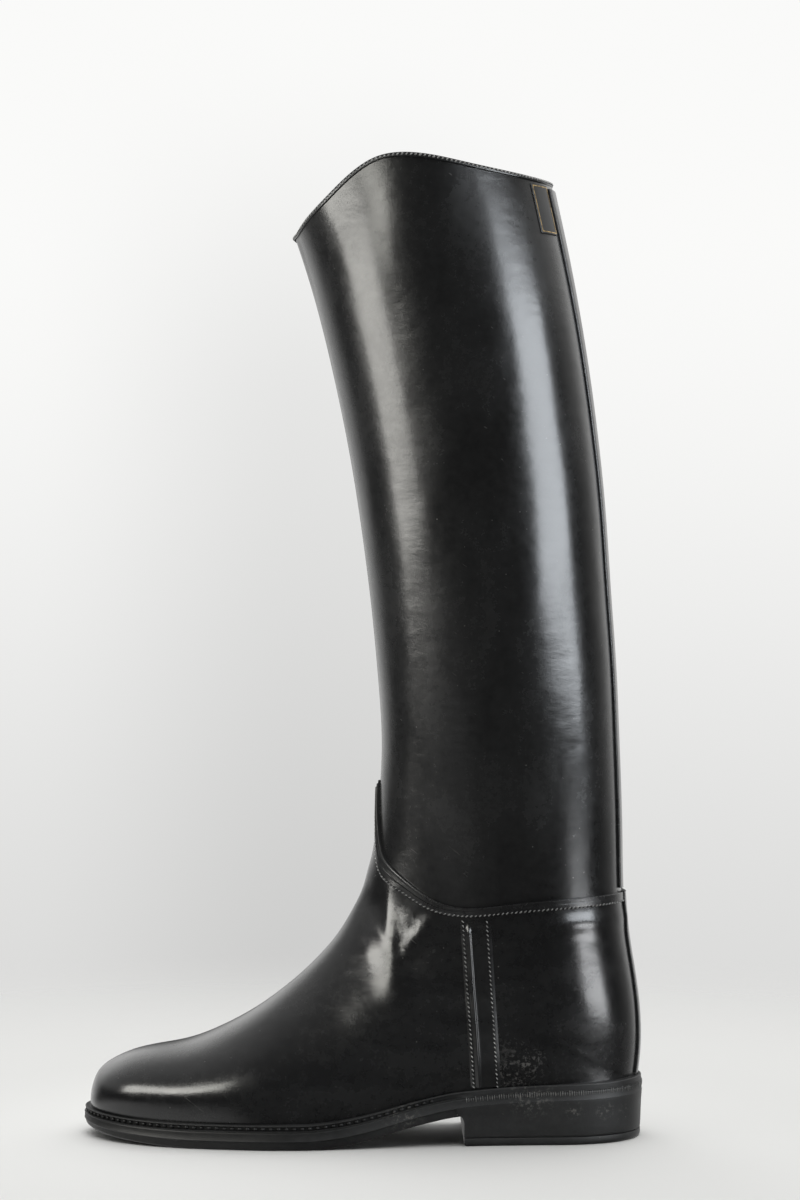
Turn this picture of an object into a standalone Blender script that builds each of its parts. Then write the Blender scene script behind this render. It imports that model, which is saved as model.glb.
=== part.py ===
"""Tall rubber riding boot for the left foot, worked out from sections of its last.

Metres, +Z up. The toe points to -X and the heel to +X, and the outer side of the leg faces -Y.
The origin is on the floor, under the middle of the boot's box. Tables and sizes are in millimetres.
"""
from collections import namedtuple

import bmesh
import bpy
import numpy as np

MM = 0.001

# Driving sizes of the last and the sole
SOLE_LENGTH = 278.6
SOLE_LEDGE = 4.65
LAST_LENGTH = SOLE_LENGTH - 2.0 * SOLE_LEDGE
BALL_HALF_WIDTH = 44.0
TOE_CAP_LENGTH = 64.65
TOE_CAP_POWER = 2.4
HEEL_CAP_LENGTH = 40.0
HEEL_CAP_POWER = 2.3

# Walls, gaps and overlays
LEG_WALL = 1.8
FOOT_STEP = 1.2
GAP = 0.3
STEP_RISE = 0.25
WELT_HEIGHT = 3.5
INSOLE_THICKNESS = 3.0
INSOLE_CLEARANCE = 1.0

# Heel block and its wearing layer
HEEL_BREAST_X = 49.5
HEEL_LIP = 4.0
HEEL_TAPER = 0.8
HEEL_LIFT_HEIGHT = 4.0
LIFT_EDGE_ROUND = 1.2

# Mesh density
GIRTH_COLUMNS = 38
OUTLINE_STEPS = 25
ANKLE_ROWS = 8
LEG_ROWS = 9
HEEL_STEPS = 12
BAND_STATIONS = 23
BAND_CROWDING = 0.06
BEAD_STATIONS = 52
SIDE_STATIONS = 12
SIDE_FOOT_POWER = 1.6
ARC_SAMPLES = 72
COLUMN_CROWDING = 0.09

OUTER, INNER = -1.0, 1.0

# Feather line of the last: place along it from the toe tip, middle and half-width as shares of the ball's
Feather = namedtuple("Feather", "station along middle half_width")
FEATHER = (
    Feather("tip", 0.0, 0.114, 0.864),
    Feather("toe", 30.0, 0.080, 0.909),
    Feather("joint", 64.7, 0.011, 0.966),
    Feather("ball", 92.0, -0.034, 1.000),
    Feather("flank", 125.0, -0.080, 0.895),
    Feather("waist", 165.0, -0.091, 0.735),
    Feather("seat_front", 200.0, -0.045, 0.690),
    Feather("seat", 235.0, 0.000, 0.693),
    Feather("back", LAST_LENGTH, 0.000, 0.693),
)

# Side of the sole: height of its underside and of the welt's top edge at each station along X
SoleSide = namedtuple("SoleSide", "station x underside welt_top")
SOLE_SIDE = (
    SoleSide("toe_tip", -139.3, 5.5, 14.2),
    SoleSide("toe", -127.0, 3.0, 13.3),
    SoleSide("toe_spring", -109.0, 1.2, 12.5),
    SoleSide("tread_front", -84.0, 0.0, 12.1),
    SoleSide("tread_rear", -28.0, 0.0, 12.3),
    SoleSide("flank", -12.0, 1.2, 13.7),
    SoleSide("shank_front", 7.5, 5.1, 17.5),
    SoleSide("shank", 18.5, 8.2, 20.4),
    SoleSide("shank_rear", 30.5, 11.2, 23.4),
    SoleSide("breast", 46.0, 14.2, 26.4),
    SoleSide("seat", 75.0, 16.4, 28.8),
    SoleSide("back", 139.3, 18.2, 30.6),
)

# Sections of the last from the toe to the heel corner: the front end of each lies on the vamp's ridge,
# the rear end on the seat. widest is the share of the way from rear to front.
FootSection = namedtuple("FootSection", "name front_x front_z rear_x half_width widest front_power rear_power")
FOOT_SECTIONS = (
    FootSection("toe_tip", -134.65, 11.0, -134.65, 0.0, 0.36, 2.2, 2.4),
    FootSection("toe_low", -135.0, 16.6, -133.6, 7.9, 0.36, 2.2, 2.4),
    FootSection("toe_wall", -134.3, 23.0, -130.0, 16.3, 0.36, 2.2, 2.4),
    FootSection("toe_brow", -132.0, 29.3, -125.2, 22.6, 0.36, 2.2, 2.4),
    FootSection("toe_top", -126.4, 34.5, -117.0, 29.8, 0.36, 2.2, 2.4),
    FootSection("toe_crown", -113.3, 40.3, -102.0, 37.5, 0.34, 2.2, 2.4),
    FootSection("joint", -89.2, 45.3, -76.0, 43.3, 0.31, 2.2, 2.4),
    FootSection("ball_front", -72.0, 51.6, -54.0, 45.3, 0.29, 2.2, 2.4),
    FootSection("ball", -55.4, 60.4, -30.0, 43.6, 0.28, 2.2, 2.4),
    FootSection("waist", -40.8, 70.5, 2.0, 39.4, 0.30, 2.2, 2.4),
    FootSection("low_instep", -28.7, 80.6, 36.0, 36.8, 0.33, 2.2, 2.4),
    FootSection("instep", -18.6, 90.7, 72.0, 36.0, 0.37, 2.2, 2.4),
    FootSection("high_instep", -10.5, 100.8, 108.0, 35.4, 0.42, 2.2, 2.4),
    FootSection("heel_corner", -4.4, 111.0, LAST_LENGTH / 2.0, 35.5, 0.45, 2.2, 2.4),
)

# Sections above the heel corner: the rear end lies on the back of the counter and the leg
LegSection = namedtuple("LegSection", "name front_x front_z rear_x rear_z half_width widest front_power rear_power")
LEG_SECTIONS = (
    LegSection("heel_bulge", 0.6, 121.1, 136.6, 48.0, 36.0, 0.46, 2.2, 2.4),
    LegSection("counter", 3.6, 131.2, 134.9, 74.0, 36.8, 0.47, 2.2, 2.4),
    LegSection("counter_top", 6.2, 141.4, 131.3, 97.0, 37.6, 0.48, 2.2, 2.4),
    LegSection("ankle", 7.7, 155.0, 129.2, 120.0, 38.5, 0.49, 2.2, 2.4),
    LegSection("tab_tip", 8.6, 172.0, 128.6, 148.0, 39.8, 0.50, 2.3, 2.4),
    LegSection("leg_low", 9.5, 194.0, 127.6, 184.0, 42.0, 0.50, 2.4, 2.4),
    LegSection("leg_level", 8.6, 216.5, 126.3, 216.5, 44.5, 0.50, 2.4, 2.4),
    LegSection("calf_low", 3.8, 266.5, 123.2, 266.5, 48.0, 0.50, 2.4, 2.4),
    LegSection("calf", -2.7, 316.5, 119.6, 316.5, 50.3, 0.50, 2.4, 2.4),
    LegSection("calf_high", -12.0, 366.5, 114.0, 366.5, 52.0, 0.50, 2.4, 2.4),
    LegSection("cuff", -24.0, 416.5, 106.1, 416.5, 53.0, 0.50, 2.4, 2.4),
    LegSection("collar", -40.5, 466.5, 95.8, 466.5, 53.0, 0.50, 2.4, 2.4),
    LegSection("above", -51.0, 497.0, 89.0, 497.0, 53.0, 0.50, 2.4, 2.4),
)

# Height of the ankle line and depth of the band below it, from the front (0) to the back (1) of the girth
AnkleLine = namedtuple("AnkleLine", "round height band")
ANKLE_LINE = (
    AnkleLine(0.00, 176.5, 15.0),
    AnkleLine(0.04, 158.5, 13.5),
    AnkleLine(0.08, 144.0, 11.0),
    AnkleLine(0.13, 135.5, 9.0),
    AnkleLine(0.19, 129.0, 7.3),
    AnkleLine(0.26, 121.7, 6.0),
    AnkleLine(0.32, 117.6, 4.8),
    AnkleLine(0.40, 116.1, 4.1),
    AnkleLine(0.50, 117.6, 4.2),
    AnkleLine(0.65, 119.8, 4.6),
    AnkleLine(0.85, 121.2, 4.7),
    AnkleLine(1.00, 121.5, 4.6),
)

# Height of the collar's edge on both sides, from the front (0) to the back (1) of the girth
CollarLine = namedtuple("CollarLine", "round outer inner")
COLLAR_LINE = (
    CollarLine(0.00, 448.2, 448.2),
    CollarLine(0.06, 448.8, 446.6),
    CollarLine(0.12, 451.8, 445.6),
    CollarLine(0.18, 456.4, 445.3),
    CollarLine(0.24, 462.2, 445.6),
    CollarLine(0.31, 470.3, 447.0),
    CollarLine(0.36, 475.9, 449.0),
    CollarLine(0.42, 480.9, 451.5),
    CollarLine(0.50, 482.4, 455.0),
    CollarLine(0.62, 478.6, 461.0),
    CollarLine(0.77, 474.4, 468.5),
    CollarLine(0.88, 473.4, 472.5),
    CollarLine(1.00, 474.5, 474.5),
)

# Cross-sections of the overlays: place across the strip from one edge (-1) to the other (1), and height
Relief = namedtuple("Relief", "across height")
BAND_RELIEF = (Relief(-1.0, 0.35), Relief(-0.8, 0.60), Relief(0.0, 0.50), Relief(0.75, 0.80), Relief(1.0, 0.50))
SIDE_RELIEF = (
    Relief(-1.0, 0.40), Relief(-0.85, 0.60), Relief(-0.66, 0.65), Relief(-0.48, 1.25), Relief(-0.28, 0.65),
    Relief(0.3, 0.65), Relief(0.85, 0.60), Relief(1.0, 0.40),
)
BACK_RELIEF = (
    Relief(-1.0, 0.40), Relief(-0.88, 0.90), Relief(-0.45, 0.85), Relief(0.0, 0.90),
    Relief(0.45, 0.85), Relief(0.88, 0.90), Relief(1.0, 0.40),
)
LEG_RELIEF = (
    Relief(-1.0, 0.40), Relief(-0.9, 0.90), Relief(-0.6, 0.85), Relief(-0.3, 0.88), Relief(0.0, 0.90),
    Relief(0.3, 0.88), Relief(0.6, 0.85), Relief(0.9, 0.90), Relief(1.0, 0.40),
)
BEAD_RELIEF = (Relief(-1.0, 0.30), Relief(-0.5, 0.85), Relief(0.4, 0.85), Relief(1.0, 0.35))
LABEL_RELIEF = (
    Relief(-1.0, 0.35), Relief(-0.9, 0.45), Relief(-0.3, 0.45), Relief(0.3, 0.45), Relief(0.9, 0.45),
    Relief(1.0, 0.35),
)

# Steps of the sole's side, the welt's outer face and the heel lift: inset from the sole's edge, share of the
# way up the piece, and a further lift
SoleStep = namedtuple("SoleStep", "inset share lift")
SOLE_STEPS = (
    SoleStep(1.3, 0.0, 0.0), SoleStep(0.5, 0.0, 0.9), SoleStep(0.4, 0.5, 0.0),
    SoleStep(0.0, 0.5, 0.3), SoleStep(0.0, 1.0, 0.0),
)
WELT_STEPS = (
    SoleStep(0.4, 1.0, 0.0), SoleStep(-0.1, 0.8, 0.0), SoleStep(-0.1, 0.2, 0.0), SoleStep(0.2, 0.0, 0.0),
)
LIFT_STEPS = (SoleStep(LIFT_EDGE_ROUND, 0.0, 0.0), SoleStep(0.3, 0.0, LIFT_EDGE_ROUND), SoleStep(0.0, 1.0, 0.0))
HEEL_SHARES = (0.0, 0.45, 0.65, 0.82, 1.0)
LIP_START = 0.45
WELT_LEAN_HEIGHT = 1.2
WELT_LEAST_TOP = 0.6
WELT_CLEARANCE = 0.2

# Places and widths of the strips, the bead and the label
BACK_STRIP_HALF_WIDTHS = (12.0, 19.5)
BACK_STRIP_STATIONS = 18
BACK_STRIP_LIFT = 1.6
BACK_STRIP_REACH = 0.86
HEEL_STRIP_HALF_WIDTH = 9.0
HEEL_STRIP_STATIONS = 10
SIDE_STRIP_HALF_WIDTH = 7.4
SIDE_STRIP_TOP = (55.6, 109.6)
SIDE_STRIP_FOOT_X = 60.4
BEAD_WIDTH = 2.1
LABEL_HEIGHTS = (446.0, 470.2)
LABEL_ARC = (21.8, 36.4)
LABEL_STATIONS = 4
LINE_CLEARANCE = 0.2
STRIP_CLEARANCE = 0.5
SIDE_STRIP_LIFT = 1.2
LEAST_LEAN = 0.12


# Curves through the rows of a table

def smooth_curve(knots, values):
    """Natural cubic through the given rows."""
    x = np.asarray(knots, float)
    y = np.asarray(values, float)
    count = len(x)
    step = np.diff(x)
    rise = np.diff(y) / step
    system = np.eye(count)
    load = np.zeros(count)
    for i in range(1, count - 1):
        system[i, i - 1:i + 2] = step[i - 1], 2.0 * (step[i - 1] + step[i]), step[i]
        load[i] = 6.0 * (rise[i] - rise[i - 1])
    bend = np.linalg.solve(system, load)

    def at(v):
        v = np.asarray(v, float)
        i = np.clip(np.searchsorted(x, v) - 1, 0, count - 2)
        width = x[i + 1] - x[i]
        after = (v - x[i]) / width
        before = 1.0 - after
        curve = (before ** 3 - before) * bend[i] + (after ** 3 - after) * bend[i + 1]
        return before * y[i] + after * y[i + 1] + curve * width ** 2 / 6.0

    return at


def steady_curve(knots, values):
    """Cubic through the given rows that never swings past them, so level stretches stay level."""
    x = np.asarray(knots, float)
    y = np.asarray(values, float)
    count = len(x)
    step = np.diff(x)
    rise = np.diff(y) / step
    slope = np.zeros(count)
    slope[0], slope[-1] = rise[0], rise[-1]
    for i in range(1, count - 1):
        if rise[i - 1] * rise[i] > 0.0:
            near, far = 2.0 * step[i] + step[i - 1], step[i] + 2.0 * step[i - 1]
            slope[i] = (near + far) / (near / rise[i - 1] + far / rise[i])

    def at(v):
        v = np.clip(np.asarray(v, float), x[0], x[-1])
        i = np.clip(np.searchsorted(x, v) - 1, 0, count - 2)
        width = x[i + 1] - x[i]
        p = (v - x[i]) / width
        start = (1.0 + 2.0 * p) * (1.0 - p) ** 2 * y[i] + p * (1.0 - p) ** 2 * width * slope[i]
        end = p ** 2 * (3.0 - 2.0 * p) * y[i + 1] + p ** 2 * (p - 1.0) * width * slope[i + 1]
        return start + end

    return at


def column(rows, name):
    """One named column of a table."""
    return np.array([getattr(row, name) for row in rows], float)


def ease(low, high, v):
    """Smooth rise from 0 at low to 1 at high."""
    p = np.clip((np.asarray(v, float) - low) / (high - low), 0.0, 1.0)
    return p * p * (3.0 - 2.0 * p)


# Feather line and the side of the sole

FEATHER_X = column(FEATHER, "along") - LAST_LENGTH / 2.0
feather_middle = smooth_curve(FEATHER_X, column(FEATHER, "middle") * BALL_HALF_WIDTH)
feather_width = smooth_curve(FEATHER_X, column(FEATHER, "half_width") * BALL_HALF_WIDTH)
sole_underside = steady_curve(column(SOLE_SIDE, "x"), column(SOLE_SIDE, "underside"))
welt_top = steady_curve(column(SOLE_SIDE, "x"), column(SOLE_SIDE, "welt_top"))


def feather_half(x):
    """Half-width of the feather line, rounded off at the toe and the heel."""
    toe = np.clip((TOE_CAP_LENGTH - (x + LAST_LENGTH / 2.0)) / TOE_CAP_LENGTH, 0.0, 1.0)
    heel = np.clip((HEEL_CAP_LENGTH - (LAST_LENGTH / 2.0 - x)) / HEEL_CAP_LENGTH, 0.0, 1.0)
    cap = np.sqrt((1.0 - toe ** TOE_CAP_POWER) * (1.0 - heel ** HEEL_CAP_POWER))
    return feather_width(x) * cap


def seat_height(x):
    """Height where the upper and the insole stand on the outsole."""
    return welt_top(x) - WELT_HEIGHT + GAP


def turn_to_x(turn):
    """Place along the feather line, from the toe (0) to the heel (pi)."""
    return -LAST_LENGTH / 2.0 * np.cos(turn)


def x_to_turn(x):
    """Turn of a place along the feather line."""
    return np.arccos(np.clip(-2.0 * np.asarray(x, float) / LAST_LENGTH, -1.0, 1.0))


def feather_point(turn, side):
    """Plan of the feather line and its outward direction."""
    x = turn_to_x(turn)
    y = feather_middle(x) + side * feather_half(x)
    small = 1e-3
    ends = []
    for shift in (-small, small):
        near = turn + shift
        flip = np.where((near < 0.0) | (near > np.pi), -side, side)
        near_x = turn_to_x(near)
        ends.append(np.stack([near_x, feather_middle(near_x) + flip * feather_half(near_x)], -1))
    along = ends[1] - ends[0]
    along /= np.linalg.norm(along, axis=-1, keepdims=True)
    out = np.stack([side * -along[..., 1], side * along[..., 0]], -1)
    return np.stack([x, y], -1), out


# Sections of the upper

ROWS = FOOT_SECTIONS + LEG_SECTIONS
HEEL_ROW = len(FOOT_SECTIONS) - 1
FRONT = np.stack([column(ROWS, "front_x"), column(ROWS, "front_z")], -1)
REAR_X = column(ROWS, "rear_x")
REAR_Z = np.concatenate([seat_height(REAR_X[:HEEL_ROW + 1]), column(LEG_SECTIONS, "rear_z")])
FRONT[0, 1] = REAR_Z[0]
STEPS = np.linalg.norm(np.diff(FRONT, axis=0), axis=1) + np.hypot(np.diff(REAR_X), np.diff(REAR_Z))
KNOTS = np.concatenate([[0.0], np.cumsum(STEPS) / 2.0])
HEEL_S = KNOTS[HEEL_ROW]

front_x = smooth_curve(KNOTS, FRONT[:, 0])
front_z = smooth_curve(KNOTS, FRONT[:, 1])
rear_turn = smooth_curve(KNOTS[:HEEL_ROW + 1], x_to_turn(REAR_X[:HEEL_ROW + 1]))
back_x = smooth_curve(KNOTS[HEEL_ROW:], REAR_X[HEEL_ROW:])
back_z = smooth_curve(KNOTS[HEEL_ROW:], REAR_Z[HEEL_ROW:])
half_width = smooth_curve(KNOTS, column(ROWS, "half_width"))
widest = smooth_curve(KNOTS, column(ROWS, "widest"))
front_power = smooth_curve(KNOTS, column(ROWS, "front_power"))
rear_power = smooth_curve(KNOTS, column(ROWS, "rear_power"))

FADE_LOW, FADE_HIGH = 32.0, 112.0


def section_ends(s):
    """Front and rear ends of the section at s, and the half-width that its rear end keeps."""
    on_seat = s < HEEL_S
    turn = np.clip(rear_turn(np.minimum(s, HEEL_S)), 0.0, np.pi)
    seat_x = turn_to_x(turn)
    above = np.maximum(s, HEEL_S)
    rear = np.stack([np.where(on_seat, seat_x, back_x(above)),
                     np.where(on_seat, seat_height(seat_x), back_z(above))], -1)
    front = np.stack([front_x(s), front_z(s)], -1)
    base = np.where(on_seat, feather_half(seat_x), 0.0)
    return front, rear, base


def half_section(s):
    """Half-width and place along each section, sampled from its rear end to its front end."""
    front, rear, base = section_ends(s)
    depth = np.maximum(np.linalg.norm(front - rear, axis=-1), 1e-6)
    wide = np.maximum(half_width(s), base * 1.01)
    share = np.clip(base / np.maximum(wide, 1e-9), 0.0, 0.99)
    centre = (widest(s) * depth)[..., None]
    rear_axis = centre / (1.0 - share[..., None] ** 2) ** (1.0 / rear_power(s)[..., None])
    start = -np.arccos(share)[..., None]
    angle = start + (np.pi / 2.0 - start) * np.linspace(0.0, 1.0, ARC_SAMPLES)
    sine = np.sin(angle)
    ahead = (depth[..., None] - centre) * np.maximum(sine, 0.0) ** (2.0 / front_power(s)[..., None])
    behind = rear_axis * np.maximum(-sine, 0.0) ** (2.0 / rear_power(s)[..., None])
    along = centre + ahead - behind
    return front, rear, depth, wide[..., None] * np.maximum(np.cos(angle), 0.0), along


def skin(s, t):
    """Points of the leg's own wall at section s and girth t, from the outer base (0) to the inner base (1)."""
    s, t = np.broadcast_arrays(np.asarray(s, float), np.asarray(t, float))
    shape = s.shape
    s, t = s.ravel(), t.ravel()
    t = np.where(s > HEEL_S, t % 1.0, np.clip(t, 0.0, 1.0))
    side = np.where(t < 0.5, OUTER, INNER)
    share = np.where(t < 0.5, 2.0 * t, 2.0 - 2.0 * t)
    front, rear, depth, wide, along = half_section(s)
    lengths = np.hypot(np.diff(wide, axis=-1), np.diff(along, axis=-1))
    run = np.concatenate([np.zeros((len(s), 1)), np.cumsum(lengths, axis=-1)], -1)
    target = share * run[:, -1]
    i = np.clip((run < target[:, None]).sum(-1) - 1, 0, ARC_SAMPLES - 2)
    row = np.arange(len(s))
    part = (target - run[row, i]) / np.maximum(run[row, i + 1] - run[row, i], 1e-9)
    y = wide[row, i] + part * (wide[row, i + 1] - wide[row, i])
    q = (along[row, i] + part * (along[row, i + 1] - along[row, i])) / depth
    xz = rear + (front - rear) * q[:, None]
    middle = feather_middle(np.clip(xz[:, 0], -LAST_LENGTH / 2.0, LAST_LENGTH / 2.0))
    middle = middle * (1.0 - ease(FADE_LOW, FADE_HIGH, xz[:, 1]))
    return np.stack([xz[:, 0], middle + side * y, xz[:, 1]], -1).reshape(shape + (3,))


def half_girth(s):
    """Length of one half of each section."""
    _, _, _, wide, along = half_section(np.asarray(s, float))
    return np.hypot(np.diff(wide, axis=-1), np.diff(along, axis=-1)).sum(-1)


def skin_normal(s, t):
    """Outward directions of the wall."""
    s, t = np.broadcast_arrays(np.asarray(s, float), np.asarray(t, float))
    small_s, small_t = 0.4, 0.004
    along = skin(s + small_s, t) - skin(np.maximum(s - small_s, 0.0), t)
    round_it = skin(s, t + small_t) - skin(s, t - small_t)
    normal = np.cross(along, round_it)
    length = np.linalg.norm(normal, axis=-1, keepdims=True)
    normal = normal / np.maximum(length, 1e-12)
    tip = (s < 1e-6)[..., None]
    return np.where(tip, np.array([-1.0, 0.0, 0.0]), normal)


def offset_skin(s, t, height):
    """Points of the wall moved out by a height."""
    return skin(s, t) + skin_normal(s, t) * np.asarray(height, float)[..., None]


OUTLINE_TURNS = np.linspace(0.0, np.pi, OUTLINE_STEPS + 1)


def section_at_turn(turn):
    """Section s whose rear end stands at a turn of the feather line."""
    rows = np.linspace(0.0, HEEL_S, 1200)
    reached = np.maximum.accumulate(rear_turn(rows))
    return np.interp(turn, reached, rows)


def round_share(t):
    """Share of the way round the girth, from the front (0) to the back (1)."""
    return np.abs(1.0 - 2.0 * np.asarray(t, float))


SEARCH_S = np.linspace(HEEL_S - 40.0, KNOTS[-1], 700)


def section_at_height(t, height):
    """Section s at which the wall's girth line t passes a height."""
    found = []
    for place, target in zip(np.ravel(t), np.ravel(height)):
        climb = skin(SEARCH_S, np.full(len(SEARCH_S), place))[:, 2]
        found.append(np.interp(target, np.maximum.accumulate(climb), SEARCH_S))
    return np.array(found)


ankle_height = smooth_curve(column(ANKLE_LINE, "round"), column(ANKLE_LINE, "height"))
ankle_band = smooth_curve(column(ANKLE_LINE, "round"), column(ANKLE_LINE, "band"))
collar_outer = smooth_curve(column(COLLAR_LINE, "round"), column(COLLAR_LINE, "outer"))
collar_inner = smooth_curve(column(COLLAR_LINE, "round"), column(COLLAR_LINE, "inner"))


def collar_height(t):
    """Height of the collar's edge at a place on the girth."""
    share = round_share(t)
    return np.where(np.asarray(t) < 0.5, collar_outer(share), collar_inner(share))


# Meshes

def rubber(name, colour, roughness):
    """Principled material of one piece."""
    material = bpy.data.materials.new(name)
    material.use_nodes = True
    shader = material.node_tree.nodes["Principled BSDF"]
    shader.inputs["Base Color"].default_value = (*colour, 1.0)
    shader.inputs["Roughness"].default_value = roughness
    shader.inputs["Metallic"].default_value = 0.0
    return material


def add_solid(name, points, faces, material):
    """One named object from points in millimetres, with its faces turned outwards."""
    mesh = bpy.data.meshes.new(name)
    mesh.from_pydata((np.asarray(points) * MM).tolist(), [], faces)
    shape = bmesh.new()
    shape.from_mesh(mesh)
    bmesh.ops.recalc_face_normals(shape, faces=shape.faces)
    shape.to_mesh(mesh)
    shape.free()
    mesh.materials.append(material)
    mesh.shade_smooth()
    mesh.set_sharp_from_angle(angle=np.radians(40.0))
    solid = bpy.data.objects.new(name, mesh)
    bpy.context.collection.objects.link(solid)
    return solid


def tube_faces(rings, size, closed):
    """Faces that join rings of equal size, capped at the ends or closed on themselves."""
    faces = []
    for i in range(rings if closed else rings - 1):
        a, b = i * size, (i + 1) % rings * size
        for j in range(size):
            k = (j + 1) % size
            faces.append((a + j, a + k, b + k, b + j))
    if not closed:
        faces.append(tuple(range(size)))
        faces.append(tuple(range((rings - 1) * size, rings * size)))
    return faces


def add_tube(name, rings, material, closed=False):
    """Solid through a row of rings of points."""
    rings = np.asarray(rings)
    faces = tube_faces(len(rings), rings.shape[1], closed)
    return add_solid(name, rings.reshape(-1, 3), faces, material)


def strip_ring(relief, place, base, narrow=False):
    """Ring across an overlay: its raised face one way and its underside back again.

    place takes the shares across and the heights, and gives points. A narrow strip has a plain underside.
    """
    across = np.array([row.across for row in relief])
    height = np.array([row.height for row in relief])
    under = across[[-1, 0]] if narrow else across[::-1]
    return np.concatenate([place(across, base + GAP + height), place(under, np.full(len(under), base + GAP))])


def outline_loop(offset):
    """Closed loop of places round the feather line, moved out by an offset, with the outer side first."""
    outer, outer_way = feather_point(OUTLINE_TURNS, OUTER)
    inner, inner_way = feather_point(OUTLINE_TURNS[1:-1], INNER)
    outer = outer + outer_way * np.asarray(offset)
    inner = inner + inner_way * np.asarray(offset)
    return np.concatenate([outer, inner[::-1]])


def base_edge(turn, side, offset):
    """Point of the upper's lower edge, on the seat, moved out from the feather line."""
    plan, way = feather_point(np.array([turn]), side)
    x, y = (plan + way * offset)[0]
    return x, y, float(seat_height(x))


def plate_faces(levels, size):
    """Faces of a plate made of stacked outline loops, with strips across its top and bottom."""
    faces = []
    for i in range(levels - 1):
        for j in range(size):
            k = (j + 1) % size
            faces.append((i * size + j, i * size + k, (i + 1) * size + k, (i + 1) * size + j))
    half = size // 2
    for start in (0, (levels - 1) * size):
        for j in range(half):
            a, b = start + j, start + j + 1
            c, d = start + (size - j - 1) % size, start + (size - j) % size
            faces.append((a, b, c) if d == a else ((a, b, d) if b == c else (a, b, c, d)))
    return faces


def add_plate(name, levels, material):
    """Plate from (offset, height function) levels, each level a loop round the feather line."""
    points = []
    for offset, height in levels:
        plan = outline_loop(offset)
        points.append(np.column_stack([plan, height(plan[:, 0])]))
    size = len(points[0])
    return add_solid(name, np.concatenate(points), plate_faces(len(points), size), material)


# Pieces

def build_upper(material):
    """Leg and foot as one wall, one step thicker below the ankle line, open at the collar and underneath."""
    spread = np.linspace(-1.0, 1.0, GIRTH_COLUMNS + 1)
    t = 0.5 + 0.5 * (spread - COLUMN_CROWDING * np.sin(2.0 * np.pi * spread))
    ankle_s = section_at_height(t, ankle_height(round_share(t)))
    collar_s = section_at_height(t, collar_height(t))
    ankle_s[-1], collar_s[-1] = ankle_s[0], collar_s[0]
    rows = [(np.full(len(t), s), FOOT_STEP) for s in section_at_turn(OUTLINE_TURNS)]
    for share in np.linspace(0.0, 1.0, ANKLE_ROWS + 1)[1:]:
        rows.append((HEEL_S + (ankle_s - HEEL_S) * share, FOOT_STEP))
    for share in np.linspace(0.0, 1.0, LEG_ROWS + 1):
        rows.append((ankle_s + STEP_RISE + (collar_s - ankle_s - STEP_RISE) * share, 0.0))

    points, index = [], {}
    for layer in range(2):
        for i, (s, step) in enumerate(rows):
            height = step if layer == 0 else -LEG_WALL
            place = offset_skin(s, t, np.full(len(t), height))
            if i <= OUTLINE_STEPS:
                place[0] = base_edge(OUTLINE_TURNS[i], OUTER, height)
                place[-1] = base_edge(OUTLINE_TURNS[i], INNER, height)
            for j in range(len(t)):
                same = (layer, i, 0) if (i == 0 or (i >= OUTLINE_STEPS and j == GIRTH_COLUMNS)) and j > 0 else None
                if same:
                    index[layer, i, j] = index[same]
                else:
                    index[layer, i, j] = len(points)
                    points.append(place[j])

    faces = []

    def add(*corners):
        unique = list(dict.fromkeys(corners))
        if len(unique) > 2:
            faces.append(tuple(unique))

    last = len(rows) - 1
    for i in range(last):
        for j in range(GIRTH_COLUMNS):
            add(index[0, i, j], index[0, i, j + 1], index[0, i + 1, j + 1], index[0, i + 1, j])
            add(index[1, i, j], index[1, i + 1, j], index[1, i + 1, j + 1], index[1, i, j + 1])
    for i in range(OUTLINE_STEPS):
        for j in (0, GIRTH_COLUMNS):
            add(index[0, i, j], index[0, i + 1, j], index[1, i + 1, j], index[1, i, j])
    for j in range(GIRTH_COLUMNS):
        add(index[0, last, j], index[0, last, j + 1], index[1, last, j + 1], index[1, last, j])
    return add_solid("upper", points, faces, material)


def build_ankle_band(material):
    """Raised band under the ankle line, from one edge of the heel strip round the front to the other."""
    back_s = section_at_height([0.0], [ankle_height(1.0)])
    end = 1.0 - (HEEL_STRIP_HALF_WIDTH + STRIP_CLEARANCE) / half_girth(back_s)[0]
    spread = np.linspace(0.0, 1.0, BAND_STATIONS)
    half = end * (spread - BAND_CROWDING * np.sin(2.0 * np.pi * spread))
    shares = np.concatenate([-half[:0:-1], half])
    t = 0.5 + shares / 2.0
    share = round_share(t)
    top = ankle_height(share)
    top_s = section_at_height(t, top - LINE_CLEARANCE)
    low_s = section_at_height(t, top - ankle_band(share))
    rings = []
    for place, high, low in zip(t, top_s, low_s):
        def at(across, height, place=place, high=high, low=low):
            s = low + (high - low) * (across + 1.0) / 2.0
            return offset_skin(s, np.full(len(s), place), height)
        rings.append(strip_ring(BAND_RELIEF, at, FOOT_STEP))
    add_tube("ankle_band", rings, material)


def back_place(s, arc):
    """Girth t at an arc from the middle of the back, the outer side first."""
    share = np.asarray(arc, float) / half_girth(np.asarray(s, float)) / 2.0
    return np.where(share >= 0.0, share, 1.0 + share)


def back_rings(heights, half_widths, relief, base, middle_arc=0.0):
    """Rings of a strip that lies on the back of the upper, at a row of heights with a half-width for each."""
    rings = []
    for height, half in zip(heights, half_widths):
        s = section_at_height([0.0], [height])[0]

        def at(across, lift, s=s, half=half):
            t = back_place(np.full(len(across), s), middle_arc + across * half)
            return offset_skin(np.full(len(across), s), t, lift)
        rings.append(strip_ring(relief, at, base))
    return rings


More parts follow.
